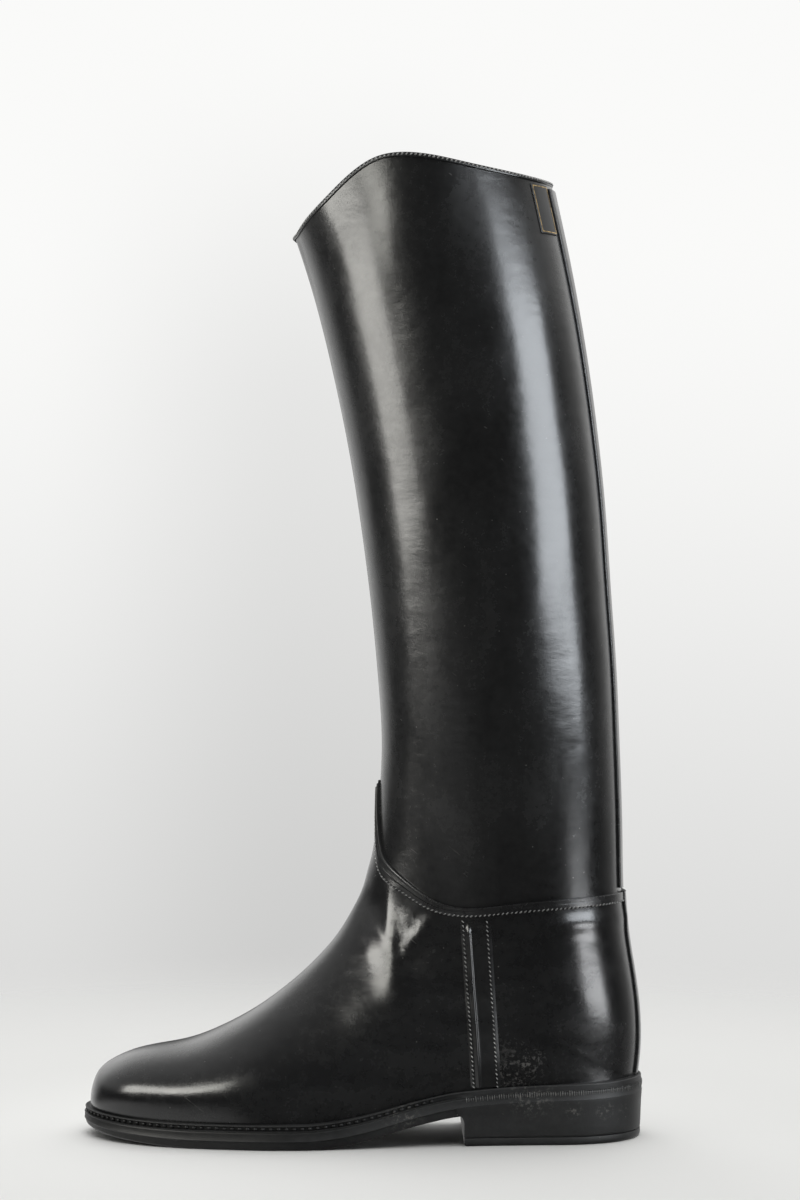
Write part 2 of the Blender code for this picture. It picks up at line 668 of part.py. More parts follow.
def build_back_strips(material):
    """Strips down the back of the leg and the back of the counter."""
    ankle = float(ankle_height(1.0))
    near_back = np.linspace(BACK_STRIP_REACH, 1.0, 5)
    edge = min(collar_outer(near_back).min(), collar_inner(near_back).min())
    collar = edge - BEAD_WIDTH - STRIP_CLEARANCE
    leg = np.linspace(ankle + BACK_STRIP_LIFT, collar, BACK_STRIP_STATIONS)
    widths = np.linspace(*BACK_STRIP_HALF_WIDTHS, BACK_STRIP_STATIONS)
    add_tube("back_strip_leg", back_rings(leg, widths, LEG_RELIEF, 0.0), material)
    foot = float(welt_top(LAST_LENGTH / 2.0)) + STRIP_CLEARANCE
    heel = np.linspace(foot, ankle - LINE_CLEARANCE, HEEL_STRIP_STATIONS)
    widths = np.full(HEEL_STRIP_STATIONS, HEEL_STRIP_HALF_WIDTH)
    add_tube("back_strip_heel", back_rings(heel, widths, BACK_RELIEF, FOOT_STEP), material)


def build_label(material):
    """Small blank patch beside the top of the back strip, on the outer side."""
    middle = sum(LABEL_ARC) / 2.0
    reach = np.full(LABEL_STATIONS, (LABEL_ARC[1] - LABEL_ARC[0]) / 2.0)
    heights = np.linspace(*LABEL_HEIGHTS, LABEL_STATIONS)
    add_tube("label_patch", back_rings(heights, reach, LABEL_RELIEF, 0.0, middle), material)


FLANK_S = np.linspace(1.0, KNOTS[-1], 900)


def flank_place(x, z, side):
    """Section s and girth t of the point on one side of the foot that stands at (x, z) in profile."""
    front, rear, _ = section_ends(FLANK_S)
    chord = front - rear
    away = chord[:, 0] * (z - rear[:, 1]) - chord[:, 1] * (x - rear[:, 0])
    i = np.nonzero(np.diff(np.sign(away)))[0][-1]
    s = FLANK_S[i] + (FLANK_S[i + 1] - FLANK_S[i]) * away[i] / (away[i] - away[i + 1])
    share = np.linspace(0.0, 0.5, 240)
    t = share if side == OUTER else 1.0 - share
    line = skin(np.full(len(t), s), t)
    ends, base, _ = section_ends(np.array([s]))
    way = ends[0] - base[0]
    along = (line[:, (0, 2)] - base[0]) @ way
    wanted = (np.array([x, z]) - base[0]) @ way
    return s, np.interp(wanted, along, t)


def build_side_strip(name, side, material):
    """Strip over the join of the vamp and the counter, from the welt to the ankle band."""
    foot_z = float(welt_top(SIDE_STRIP_FOOT_X + SIDE_STRIP_HALF_WIDTH)) + SIDE_STRIP_LIFT
    rings = []
    for share in np.linspace(0.0, 1.0, SIDE_STATIONS) ** SIDE_FOOT_POWER:
        x = SIDE_STRIP_FOOT_X + (SIDE_STRIP_TOP[0] - SIDE_STRIP_FOOT_X) * share
        z = foot_z + (SIDE_STRIP_TOP[1] - foot_z) * share

        def at(across, lift, x=x, z=z):
            places = [flank_place(x + a * SIDE_STRIP_HALF_WIDTH, z, side) for a in across]
            s, t = np.array(places).T
            return offset_skin(s, t, lift)
        rings.append(strip_ring(SIDE_RELIEF, at, FOOT_STEP))
    add_tube(name, rings, material)


def build_collar_bead(material):
    """Narrow bead round the outside of the collar's edge."""
    t = np.linspace(0.0, 1.0, BEAD_STATIONS + 1)[:-1]
    s = section_at_height(t, collar_height(t))
    edge = skin(s, t)
    path = np.roll(edge, -1, axis=0) - np.roll(edge, 1, axis=0)
    up = skin(s + 0.5, t) - skin(s - 0.5, t)
    up_rate = np.linalg.norm(up, axis=1)
    crossing = np.linalg.norm(np.cross(path, up), axis=1) / (np.linalg.norm(path, axis=1) * up_rate)
    drop = BEAD_WIDTH / np.maximum(crossing, 0.4) / up_rate
    rings = []
    for place, high, width in zip(t, s, drop):
        def at(across, height, place=place, high=high, width=width):
            line = high - width * (1.0 - across) / 2.0
            return offset_skin(line, np.full(len(line), place), height)
        rings.append(strip_ring(BEAD_RELIEF, at, 0.0, narrow=True))
    add_tube("collar_bead", rings, material, closed=True)


def outsole_top(x):
    """Height of the outsole's upper face."""
    return welt_top(x) - WELT_HEIGHT


def build_outsole(material):
    """Sole plate with a toe spring, an arch and a step half-way up its side."""
    def between(step):
        return lambda x: sole_underside(x) + (outsole_top(x) - sole_underside(x)) * step.share + step.lift
    add_plate("outsole", [(SOLE_LEDGE - step.inset, between(step)) for step in SOLE_STEPS], material)


def build_insole(material):
    """Insole that lies on the outsole inside the upper."""
    inset = -(LEG_WALL + INSOLE_CLEARANCE)
    add_plate("insole", (
        (inset, seat_height),
        (inset, lambda x: seat_height(x) + INSOLE_THICKNESS),
    ), material)


def build_welt(material):
    """Strip on the edge of the outsole, leaning out with the foot of the upper behind it."""
    turns = OUTLINE_TURNS
    s = section_at_turn(turns)
    lift = WELT_LEAN_HEIGHT / half_girth(np.maximum(s, s[1])) / 2.0
    rings = []
    for side, chosen in ((OUTER, np.arange(len(turns))), (INNER, np.arange(len(turns) - 2, 0, -1))):
        t = lift if side == OUTER else 1.0 - lift
        normal = skin_normal(s, t)
        lean = np.maximum(-normal[:, 2] / np.linalg.norm(normal[:, :2], axis=1), LEAST_LEAN)
        plan, way = feather_point(turns, side)
        for i in chosen:
            inner_foot = FOOT_STEP + GAP
            reach = lean[i] * (WELT_HEIGHT - GAP) + WELT_CLEARANCE
            inner_head = inner_foot + min(reach, SOLE_LEDGE - inner_foot - WELT_LEAST_TOP)
            profile = [(inner_foot, 0.0), (inner_head, 1.0)]
            profile += [(SOLE_LEDGE - step.inset, step.share) for step in WELT_STEPS]
            ring = []
            for offset, share in profile:
                place = plan[i] + way[i] * offset
                low = outsole_top(place[0]) + GAP
                ring.append((*place, low + (welt_top(place[0]) - low) * share))
            rings.append(ring)
    add_tube("welt", rings, material, closed=True)


def heel_loop(offset, breast_x):
    """Plan of the heel from its breast round the back, the outer side first."""
    turns = np.linspace(float(x_to_turn(breast_x)), np.pi, HEEL_STEPS + 1)
    outer, outer_way = feather_point(turns, OUTER)
    inner, inner_way = feather_point(turns[:-1], INNER)
    return np.concatenate([outer + outer_way * offset, (inner + inner_way * offset)[::-1]])


def add_heel_piece(name, levels, material):
    """Stack of heel loops: each level has an offset, a breast and a height function."""
    points = []
    for offset, breast_x, height in levels:
        plan = heel_loop(offset, breast_x)
        points.append(np.column_stack([plan, height(plan[:, 0])]))
    size = len(points[0])
    faces = []
    for i in range(len(levels) - 1):
        for j in range(size):
            k = (j + 1) % size
            faces.append((i * size + j, i * size + k, (i + 1) * size + k, (i + 1) * size + j))
    for start in (0, (len(levels) - 1) * size):
        for j in range(size // 2):
            a, b = start + j, start + j + 1
            c, d = start + size - 2 - j, start + size - 1 - j
            faces.append((a, b, d) if b == c else (a, b, c, d))
    add_solid(name, np.concatenate(points), faces, material)


def build_heel(material):
    """Heel block whose breast flares forward into a lip under the waist."""
    low = HEEL_LIFT_HEIGHT + GAP

    def level(share):
        return lambda x: low + (sole_underside(x) - GAP - low) * share

    levels = []
    for share in HEEL_SHARES:
        flare = max(0.0, (share - LIP_START) / (1.0 - LIP_START)) ** 2
        levels.append((SOLE_LEDGE - HEEL_TAPER * (1.0 - share), HEEL_BREAST_X - HEEL_LIP * flare, level(share)))
    add_heel_piece("heel", levels, material)


def build_heel_lift(material):
    """Wearing layer under the heel, flat on the floor."""
    edge = SOLE_LEDGE - HEEL_TAPER

    def level(step):
        return lambda x: np.full_like(x, HEEL_LIFT_HEIGHT * step.share + step.lift)
    add_heel_piece("heel_lift", [
        (edge - step.inset, HEEL_BREAST_X + step.inset, level(step)) for step in LIFT_STEPS
    ], material)


def main():
    """Build every piece of the boot."""
    for item in list(bpy.data.objects):
        bpy.data.objects.remove(item, do_unlink=True)
    black = (0.016, 0.016, 0.017)
    soot = (0.013, 0.013, 0.014)
    build_outsole(rubber("outsole_rubber", soot, 0.48))
    build_welt(rubber("welt_rubber", soot, 0.42))
    build_heel(rubber("heel_rubber", soot, 0.45))
    build_heel_lift(rubber("heel_lift_rubber", soot, 0.5))
    build_insole(rubber("insole_cloth", (0.20, 0.18, 0.15), 0.9))
    build_upper(rubber("upper_rubber", black, 0.28))
    build_ankle_band(rubber("ankle_band_rubber", black, 0.32))
    strips = rubber("strip_rubber", black, 0.32)
    build_side_strip("side_strip_outer", OUTER, strips)
    build_side_strip("side_strip_inner", INNER, strips.copy())
    build_back_strips(strips.copy())
    build_collar_bead(rubber("collar_bead_rubber", black, 0.35))
    build_label(rubber("label_rubber", black, 0.4))


if __name__ == "__main__":
    main()
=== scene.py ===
"""Looks of a tall black rubber riding boot for the left foot.

Lengths in the tables are millimetres. The toe points to -X, the heel to +X, and the outer side of the leg
faces -Y. Each piece repeats the form of the solid that it stands for, at a finer pitch.
"""

import logging
from collections.abc import Callable, Sequence
from dataclasses import dataclass, field, replace
from enum import Enum
from typing import Any, NamedTuple, TypeVar

import bpy
import numpy as np
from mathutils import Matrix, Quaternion, Vector


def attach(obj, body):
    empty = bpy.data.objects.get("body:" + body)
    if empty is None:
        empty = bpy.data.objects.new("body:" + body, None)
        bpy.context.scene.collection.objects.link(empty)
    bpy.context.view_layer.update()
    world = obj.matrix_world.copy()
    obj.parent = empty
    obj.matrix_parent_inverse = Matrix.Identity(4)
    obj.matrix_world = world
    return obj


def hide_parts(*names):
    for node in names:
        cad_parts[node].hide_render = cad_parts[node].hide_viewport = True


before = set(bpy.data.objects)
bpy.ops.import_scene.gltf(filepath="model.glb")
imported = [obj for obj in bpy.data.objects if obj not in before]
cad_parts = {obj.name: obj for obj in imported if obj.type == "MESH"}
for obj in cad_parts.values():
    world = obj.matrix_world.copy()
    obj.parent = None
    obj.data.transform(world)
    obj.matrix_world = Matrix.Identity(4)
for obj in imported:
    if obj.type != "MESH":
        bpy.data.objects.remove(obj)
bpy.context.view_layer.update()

LOG = logging.getLogger("boot")
Array = np.ndarray
Material = bpy.types.Material
Piece = bpy.types.Object
Socket = bpy.types.NodeSocket
Row = TypeVar("Row")
Span = tuple[float, float]
Triple = tuple[float, float, float]
Colour = Triple
Face = tuple[int, ...]
Path = tuple[Array, Array]
Relief = tuple[Span, ...]
Lie = Callable[[Array], tuple[Array, Array]]
MM = 0.001
SHARP = 42.0
BODY = "root"


class Side(Enum):
    """Side of the boot, by the sign of its Y."""

    OUTER = -1.0
    INNER = 1.0


class Slot(Enum):
    """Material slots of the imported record."""

    UPPER = "upper_rubber"
    TRIM = "trim_rubber"
    LABEL = "label_rubber"
    SOLE = "sole_rubber"
    CLOTH = "insole_cloth"


# Tables of the last, one row for each station or section


class Feather(NamedTuple):
    """Feather line: place from the toe tip, middle and half-width as shares of the ball's half-width."""

    station: str
    along: float
    middle: float
    half_width: float


class SoleSide(NamedTuple):
    """Side of the sole: height of its underside and of the welt's top edge."""

    station: str
    x: float
    underside: float
    welt_top: float


class Section(NamedTuple):
    """Section of the last between a front end on the ridge and a rear end on the seat or the back."""

    name: str
    front_x: float
    front_z: float
    rear_x: float
    rear_z: float | None
    half_width: float
    widest: float
    front_power: float = 2.2
    rear_power: float = 2.4


class AnkleLine(NamedTuple):
    """Height of the ankle line and depth of the band below it, from the front (0) to the back (1)."""

    round: float
    height: float
    band: float


class CollarLine(NamedTuple):
    """Height of the collar's edge on both sides, from the front (0) to the back (1)."""

    round: float
    outer: float
    inner: float


class Crease(NamedTuple):
    """Soft trough (depth above 0) or ridge (below 0) on one side, between two places in profile."""

    name: str
    side: Side
    start: tuple[float, float]
    end: tuple[float, float]
    width: float
    depth: float


def table(kind: Callable[..., Row], *rows: tuple[Any, ...]) -> tuple[Row, ...]:
    """Rows of a table as named values."""
    return tuple(kind(*row) for row in rows)


FEATHER = table(
    Feather,
    ("tip", 0.0, 0.114, 0.864),
    ("toe", 30.0, 0.080, 0.909),
    ("joint", 64.7, 0.011, 0.966),
    ("ball", 92.0, -0.034, 1.000),
    ("flank", 125.0, -0.080, 0.895),
    ("waist", 165.0, -0.091, 0.735),
    ("seat_front", 200.0, -0.045, 0.690),
    ("seat", 235.0, 0.000, 0.693),
    ("back", 269.3, 0.000, 0.693),
)
SOLE_SIDE = table(
    SoleSide,
    ("toe_tip", -139.3, 5.5, 14.2),
    ("toe", -127.0, 3.0, 13.3),
    ("toe_spring", -109.0, 1.2, 12.5),
    ("tread_front", -84.0, 0.0, 12.1),
    ("tread_rear", -28.0, 0.0, 12.3),
    ("flank", -12.0, 1.2, 13.7),
    ("shank_front", 7.5, 5.1, 17.5),
    ("shank", 18.5, 8.2, 20.4),
    ("shank_rear", 30.5, 11.2, 23.4),
    ("breast", 46.0, 14.2, 26.4),
    ("seat", 75.0, 16.4, 28.8),
    ("back", 139.3, 18.2, 30.6),
)
FOOT_SECTIONS = table(
    Section,
    ("toe_tip", -134.65, 11.0, -134.65, None, 0.0, 0.36),
    ("toe_low", -135.0, 16.6, -133.6, None, 7.9, 0.36),
    ("toe_wall", -134.3, 23.0, -130.0, None, 16.3, 0.36),
    ("toe_brow", -132.0, 29.3, -125.2, None, 22.6, 0.36),
    ("toe_top", -126.4, 34.5, -117.0, None, 29.8, 0.36),
    ("toe_crown", -113.3, 40.3, -102.0, None, 37.5, 0.34),
    ("joint", -89.2, 45.3, -76.0, None, 43.3, 0.31),
    ("ball_front", -72.0, 51.6, -54.0, None, 45.3, 0.29),
    ("ball", -55.4, 60.4, -30.0, None, 43.6, 0.28),
    ("waist", -40.8, 70.5, 2.0, None, 39.4, 0.30),
    ("low_instep", -28.7, 80.6, 36.0, None, 36.8, 0.33),
    ("instep", -18.6, 90.7, 72.0, None, 36.0, 0.37),
    ("high_instep", -10.5, 100.8, 108.0, None, 35.4, 0.42),
    ("heel_corner", -4.4, 111.0, 134.65, None, 35.5, 0.45),
)
LEG_SECTIONS = table(
    Section,
    ("heel_bulge", 0.6, 121.1, 136.6, 48.0, 36.0, 0.46),
    ("counter", 3.6, 131.2, 134.9, 74.0, 36.8, 0.47),
    ("counter_top", 6.2, 141.4, 131.3, 97.0, 37.6, 0.48),
    ("ankle", 7.7, 155.0, 129.2, 120.0, 38.5, 0.49),
    ("tab_tip", 8.6, 172.0, 128.6, 148.0, 39.8, 0.50, 2.3),
    ("leg_low", 9.5, 194.0, 127.6, 184.0, 42.0, 0.50, 2.4),
    ("leg_level", 8.6, 216.5, 126.3, 216.5, 44.5, 0.50, 2.4),
    ("calf_low", 3.8, 266.5, 123.2, 266.5, 48.0, 0.50, 2.4),
    ("calf", -2.7, 316.5, 119.6, 316.5, 50.3, 0.50, 2.4),
    ("calf_high", -12.0, 366.5, 114.0, 366.5, 52.0, 0.50, 2.4),
    ("cuff", -24.0, 416.5, 106.1, 416.5, 53.0, 0.50, 2.4),
    ("collar", -40.5, 466.5, 95.8, 466.5, 53.0, 0.50, 2.4),
    ("above", -51.0, 497.0, 89.0, 497.0, 53.0, 0.50, 2.4),
)
ANKLE_LINE = table(
    AnkleLine,
    (0.00, 176.5, 15.0),
    (0.04, 158.5, 13.5),
    (0.08, 144.0, 11.0),
    (0.13, 135.5, 9.0),
    (0.19, 129.0, 7.3),
    (0.26, 121.7, 6.0),
    (0.32, 117.6, 4.8),
    (0.40, 116.1, 4.1),
    (0.50, 117.6, 4.2),
    (0.65, 119.8, 4.6),
    (0.85, 121.2, 4.7),
    (1.00, 121.5, 4.6),
)
COLLAR_LINE = table(
    CollarLine,
    (0.00, 448.2, 448.2),
    (0.06, 448.8, 446.6),
    (0.12, 451.8, 445.6),
    (0.18, 456.4, 445.3),
    (0.24, 462.2, 445.6),
    (0.31, 470.3, 447.0),
    (0.36, 475.9, 449.0),
    (0.42, 480.9, 451.5),
    (0.50, 482.4, 455.0),
    (0.62, 478.6, 461.0),
    (0.77, 474.4, 468.5),
    (0.88, 473.4, 472.5),
    (1.00, 474.5, 474.5),
)
CREASES = table(
    Crease,
    ("collar_hollow_outer", Side.OUTER, (0.0, 512.0), (-24.0, 430.0), 20.0, 2.2),
    ("collar_swell_outer", Side.OUTER, (34.0, 512.0), (26.0, 435.0), 18.0, -2.0),
    ("collar_hollow_inner", Side.INNER, (-6.0, 490.0), (-24.0, 420.0), 20.0, 2.0),
    ("instep_roll_outer", Side.OUTER, (14.0, 124.0), (15.0, 98.0), 3.4, -0.8),
    ("instep_fan_outer", Side.OUTER, (15.0, 106.0), (15.5, 76.0), 7.5, -1.7),
    ("instep_fold_outer", Side.OUTER, (18.5, 120.0), (19.5, 84.0), 3.2, 0.45),
    ("instep_hollow_outer", Side.OUTER, (4.5, 126.0), (0.5, 101.0), 7.0, 1.2),
    ("instep_brow_outer", Side.OUTER, (2.0, 95.0), (12.0, 97.0), 8.0, -1.0),
    ("instep_swell_outer", Side.OUTER, (25.0, 104.0), (31.0, 100.0), 12.0, -1.8),
    ("instep_roll_inner", Side.INNER, (12.0, 123.0), (11.0, 80.0), 7.0, -1.5),
    ("instep_fold_inner", Side.INNER, (12.0, 124.0), (17.0, 98.0), 2.4, 0.5),
    ("counter_lip_outer", Side.OUTER, (80.0, 107.0), (134.0, 109.3), 4.6, -0.9),
    ("counter_lip_inner", Side.INNER, (80.0, 107.0), (134.0, 109.3), 4.6, -0.9),
    ("vamp_dip_outer", Side.OUTER, (-22.0, 72.0), (-2.0, 50.0), 9.0, 0.35),
    ("vamp_dip_inner", Side.INNER, (-22.0, 72.0), (-2.0, 50.0), 9.0, 0.5),
    ("calf_dent_outer", Side.OUTER, (88.0, 300.0), (100.0, 205.0), 12.0, 0.4),
    ("calf_dent_inner", Side.INNER, (40.0, 330.0), (62.0, 240.0), 16.0, 0.8),
    ("shin_dent_outer", Side.OUTER, (14.0, 330.0), (24.0, 250.0), 10.0, 0.3),
)


@dataclass
class Curve:
    """Cubic through the rows of a table, by a slope at each row; a held one stays level past its ends."""

    knots: Array
    values: Array
    slopes: Array
    held: bool

    @classmethod
    def smooth(cls, knots: Sequence[float], values: Sequence[float]) -> "Curve":
        """Natural cubic, with the smoothest bend.

        Args:
            knots: places of the rows.
            values: values at the rows.

        Returns:
            The curve.
        """
        x = np.asarray(knots, float)
        y = np.asarray(values, float)
        step = np.diff(x)
        rise = np.diff(y) / step
        count = len(x)
        matrix = np.eye(count)
        right = np.zeros(count)
        for i in range(1, count - 1):
            matrix[i, i - 1:i + 2] = step[i - 1], 2.0 * (step[i - 1] + step[i]), step[i]
            right[i] = 6.0 * (rise[i] - rise[i - 1])
        bend = np.linalg.solve(matrix, right)
        slopes = np.append(rise - step * (2.0 * bend[:-1] + bend[1:]) / 6.0, 0.0)
        slopes[-1] = rise[-1] + step[-1] * (bend[-2] + 2.0 * bend[-1]) / 6.0
        return cls(x, y, slopes, False)

    @classmethod
    def steady(cls, knots: Sequence[float], values: Sequence[float]) -> "Curve":
        """Cubic that never swings past its rows, so level stretches stay level.

        Args:
            knots: places of the rows.
            values: values at the rows.

        Returns:
            The curve.
        """
        x = np.asarray(knots, float)
        y = np.asarray(values, float)
        step = np.diff(x)
        rise = np.diff(y) / step
        slopes = np.zeros(len(x))
        slopes[0], slopes[-1] = rise[0], rise[-1]
        for i in range(1, len(x) - 1):
            if rise[i - 1] * rise[i] > 0.0:
                near = 2.0 * step[i] + step[i - 1]
                far = step[i] + 2.0 * step[i - 1]
                slopes[i] = (near + far) / (near / rise[i - 1] + far / rise[i])
        return cls(x, y, slopes, True)

    def __call__(self, v: Any) -> Array:
        """Values at places.

        Args:
            v: places, one or many.

        Returns:
            The values.
        """
        x, y, m = self.knots, self.values, self.slopes
        v = np.asarray(v, float)
        if self.held:
            v = np.clip(v, x[0], x[-1])
        i = np.clip(np.searchsorted(x, v) - 1, 0, len(x) - 2)
        width = x[i + 1] - x[i]
        p = (v - x[i]) / width
        start = (1.0 + 2.0 * p) * (1.0 - p) ** 2 * y[i] + p * (1.0 - p) ** 2 * width * m[i]
        end = p ** 2 * (3.0 - 2.0 * p) * y[i + 1] + p ** 2 * (p - 1.0) * width * m[i + 1]
        return start + end


def column(rows: Sequence[Any], name: str) -> Array:
    """One named column of a table."""
    return np.array([getattr(row, name) for row in rows], float)


def ease(low: float, high: float, v: Any) -> Array:
    """Smooth rise from 0 at low to 1 at high."""
    p = np.clip((np.asarray(v, float) - low) / (high - low), 0.0, 1.0)
    return p * p * (3.0 - 2.0 * p)


@dataclass
class Last:
    """Form of the boot: its feather line, the side of its sole and the skin of its leg and foot."""

    sole_length: float = 278.6
    sole_ledge: float = 4.65
    ball_half_width: float = 44.0
    toe_cap_length: float = 64.65
    toe_cap_power: float = 2.4
    heel_cap_length: float = 40.0
    heel_cap_power: float = 2.3
    welt_height: float = 3.5
    gap: float = 0.3
    foot_step: float = 1.2
    leg_wall: float = 1.8
    arc_samples: int = 88
    halvings: int = 22
    fade: Span = (32.0, 112.0)
    turn_rows: int = 1200
    flank_rows: int = 900
    search_below: float = 40.0
    crease_start: float = 0.12
    crease_span: float = 0.76
    crease_edge: float = 10.0
    slack: float = 0.10
    slack_start: Span = (140.0, 220.0)
    slack_stop: Span = (430.0, 470.0)
    wave_rise: float = 13.0
    wave_sway: Span = (1.1, 23.0)
    wave_run: Triple = (17.0, 40.0, 61.0)
    length: float = field(init=False)

    def __post_init__(self) -> None:
        """Make the curves from the tables."""
        self.length = self.sole_length - 2.0 * self.sole_ledge
        x = column(FEATHER, "along") - self.length / 2.0
        ball = self.ball_half_width
        self.middle, self.width = (Curve.smooth(x, column(FEATHER, name) * ball)
                                   for name in ("middle", "half_width"))
        side_x = column(SOLE_SIDE, "x")
        self.underside, self.welt_top = (Curve.steady(side_x, column(SOLE_SIDE, name))
                                         for name in ("underside", "welt_top"))
        rows = FOOT_SECTIONS + LEG_SECTIONS
        corner = len(FOOT_SECTIONS) - 1
        front = np.stack([column(rows, "front_x"), column(rows, "front_z")], -1)
        rear_x = column(rows, "rear_x")
        rear_z = np.append(self.seat_height(rear_x[:corner + 1]), column(LEG_SECTIONS, "rear_z"))
        front[0, 1] = rear_z[0]
        steps = np.linalg.norm(np.diff(front, axis=0), axis=1) + np.hypot(np.diff(rear_x), np.diff(rear_z))
        knots = np.append(0.0, np.cumsum(steps) / 2.0)
        self.heel_s = knots[corner]
        self.top_s = knots[-1]
        self.front_x, self.front_z = (Curve.smooth(knots, values) for values in front.T)
        self.rear_turn = Curve.smooth(knots[:corner + 1], self.x_to_turn(rear_x[:corner + 1]))
        self.back_x = Curve.smooth(knots[corner:], rear_x[corner:])
        self.back_z = Curve.smooth(knots[corner:], rear_z[corner:])
        self.half_width, self.widest, self.front_power, self.rear_power = (
            Curve.smooth(knots, column(rows, name))
            for name in ("half_width", "widest", "front_power", "rear_power"))
        self.ankle, self.band, self.collar_outer, self.collar_inner = (
            Curve.smooth(column(line, "round"), column(line, name)) for line, name in
            ((ANKLE_LINE, "height"), (ANKLE_LINE, "band"), (COLLAR_LINE, "outer"), (COLLAR_LINE, "inner")))

    def feather_half(self, x: Array) -> Array:
        """Half-width of the feather line, rounded off at the toe and the heel.

        Args:
            x: places along the boot.

        Returns:
            The half-widths.
        """
        toe = np.clip(1.0 - (x + self.length / 2.0) / self.toe_cap_length, 0.0, 1.0)
        heel = np.clip(1.0 - (self.length / 2.0 - x) / self.heel_cap_length, 0.0, 1.0)
        cap = (1.0 - toe ** self.toe_cap_power) * (1.0 - heel ** self.heel_cap_power)
        return self.width(x) * np.sqrt(cap)

    def seat_height(self, x: Array) -> Array:
        """Height where the upper stands on the outsole."""
        return self.welt_top(x) - self.welt_height + self.gap

    def outsole_top(self, x: Array) -> Array:
        """Height of the outsole's upper face."""
        return self.welt_top(x) - self.welt_height

    def turn_to_x(self, turn: Array) -> Array:
        """Place along the feather line, from the toe (0) to the heel (pi)."""
        return -self.length / 2.0 * np.cos(turn)

    def x_to_turn(self, x: Any) -> Array:
        """Turn of a place along the feather line."""
        return np.arccos(np.clip(-2.0 * np.asarray(x, float) / self.length, -1.0, 1.0))

    def feather_point(self, turn: Array, side: Side) -> tuple[Array, Array]:
        """Plan of the feather line.

        Args:
            turn: turns from the toe (0) to the heel (pi).
            side: side of the boot.

        Returns:
            The places in plan and their outward directions.
        """
        small = 1e-3
        x = self.turn_to_x(turn)
        y = self.middle(x) + side.value * self.feather_half(x)
        ends = []
        for shift in (-small, small):
            near = turn + shift
            flip = np.where((near < 0.0) | (near > np.pi), -side.value, side.value)
            near_x = self.turn_to_x(near)
            ends.append(np.stack([near_x, self.middle(near_x) + flip * self.feather_half(near_x)], -1))
        along = ends[1] - ends[0]
        along /= np.linalg.norm(along, axis=-1, keepdims=True)
        out = side.value * np.stack([-along[..., 1], along[..., 0]], -1)
        return np.stack([x, y], -1), out

    def section_ends(self, s: Array) -> tuple[Array, Array, Array]:
        """Ends of sections.

        Args:
            s: sections.

        Returns:
            Front ends, rear ends and the half-width that each rear end keeps.
        """
        on_seat = s < self.heel_s
        turn = np.clip(self.rear_turn(np.minimum(s, self.heel_s)), 0.0, np.pi)
        seat_x = self.turn_to_x(turn)
        above = np.maximum(s, self.heel_s)
        rear_x = np.where(on_seat, seat_x, self.back_x(above))
        rear_z = np.where(on_seat, self.seat_height(seat_x), self.back_z(above))
        front = np.stack([self.front_x(s), self.front_z(s)], -1)
        base = np.where(on_seat, self.feather_half(seat_x), 0.0)
        return front, np.stack([rear_x, rear_z], -1), base

    def half_section(self, s: Array) -> tuple[Array, Array, Array, Array, Array]:
        """Half of each section, sampled from its rear end to its front end.

        Args:
            s: sections.

        Returns:
            Front ends, rear ends, depths, half-widths and places along the section.
        """
        front, rear, base = self.section_ends(s)
        depth = np.maximum(np.linalg.norm(front - rear, axis=-1), 1e-6)
        wide = np.maximum(self.half_width(s), base * 1.01)
        share = np.clip(base / np.maximum(wide, 1e-9), 0.0, 0.99)
        centre = (self.widest(s) * depth)[..., None]
        rear_power = self.rear_power(s)[..., None]
        front_power = self.front_power(s)[..., None]
        rear_axis = centre / (1.0 - share[..., None] ** 2) ** (1.0 / rear_power)
        start = -np.arccos(share)[..., None]
        angle = start + (np.pi / 2.0 - start) * np.linspace(0.0, 1.0, self.arc_samples)
        sine = np.sin(angle)
        ahead = (depth[..., None] - centre) * np.maximum(sine, 0.0) ** (2.0 / front_power)
        behind = rear_axis * np.maximum(-sine, 0.0) ** (2.0 / rear_power)
        return front, rear, depth, wide[..., None] * np.maximum(np.cos(angle), 0.0), centre + ahead - behind

    def skin(self, s: Any, t: Any) -> Array:
        """Points of the leg's own wall.

        Args:
            s: sections from the toe tip up to the collar.
            t: places on the girth, from the outer base (0) over the front (0.5) to the inner base (1).

        Returns:
            The points.
        """
        s, t = np.broadcast_arrays(np.asarray(s, float), np.asarray(t, float))
        shape = s.shape
        s, t = s.ravel(), t.ravel()
        t = np.where(s > self.heel_s, t % 1.0, np.clip(t, 0.0, 1.0))
        side = np.where(t < 0.5, Side.OUTER.value, Side.INNER.value)
        share = np.where(t < 0.5, 2.0 * t, 2.0 - 2.0 * t)
        front, rear, depth, wide, along = self.half_section(s)
        lengths = np.hypot(np.diff(wide, axis=-1), np.diff(along, axis=-1))
        run = np.concatenate([np.zeros((len(s), 1)), np.cumsum(lengths, axis=-1)], -1)
        target = share * run[:, -1]
        i = np.clip((run < target[:, None]).sum(-1) - 1, 0, self.arc_samples - 2)
        row = np.arange(len(s))
        part = (target - run[row, i]) / np.maximum(run[row, i + 1] - run[row, i], 1e-9)
        y = wide[row, i] + part * (wide[row, i + 1] - wide[row, i])
        q = (along[row, i] + part * (along[row, i + 1] - along[row, i])) / depth
        xz = rear + (front - rear) * q[:, None]
        middle = self.middle(np.clip(xz[:, 0], -self.length / 2.0, self.length / 2.0))
        middle = middle * (1.0 - ease(*self.fade, xz[:, 1]))
        return np.stack([xz[:, 0], middle + side * y, xz[:, 1]], -1).reshape(shape + (3,))

    def half_girth(self, s: Any) -> Array:
        """Length of one half of each section."""
        _, _, _, wide, along = self.half_section(np.asarray(s, float))
        return np.hypot(np.diff(wide, axis=-1), np.diff(along, axis=-1)).sum(-1)

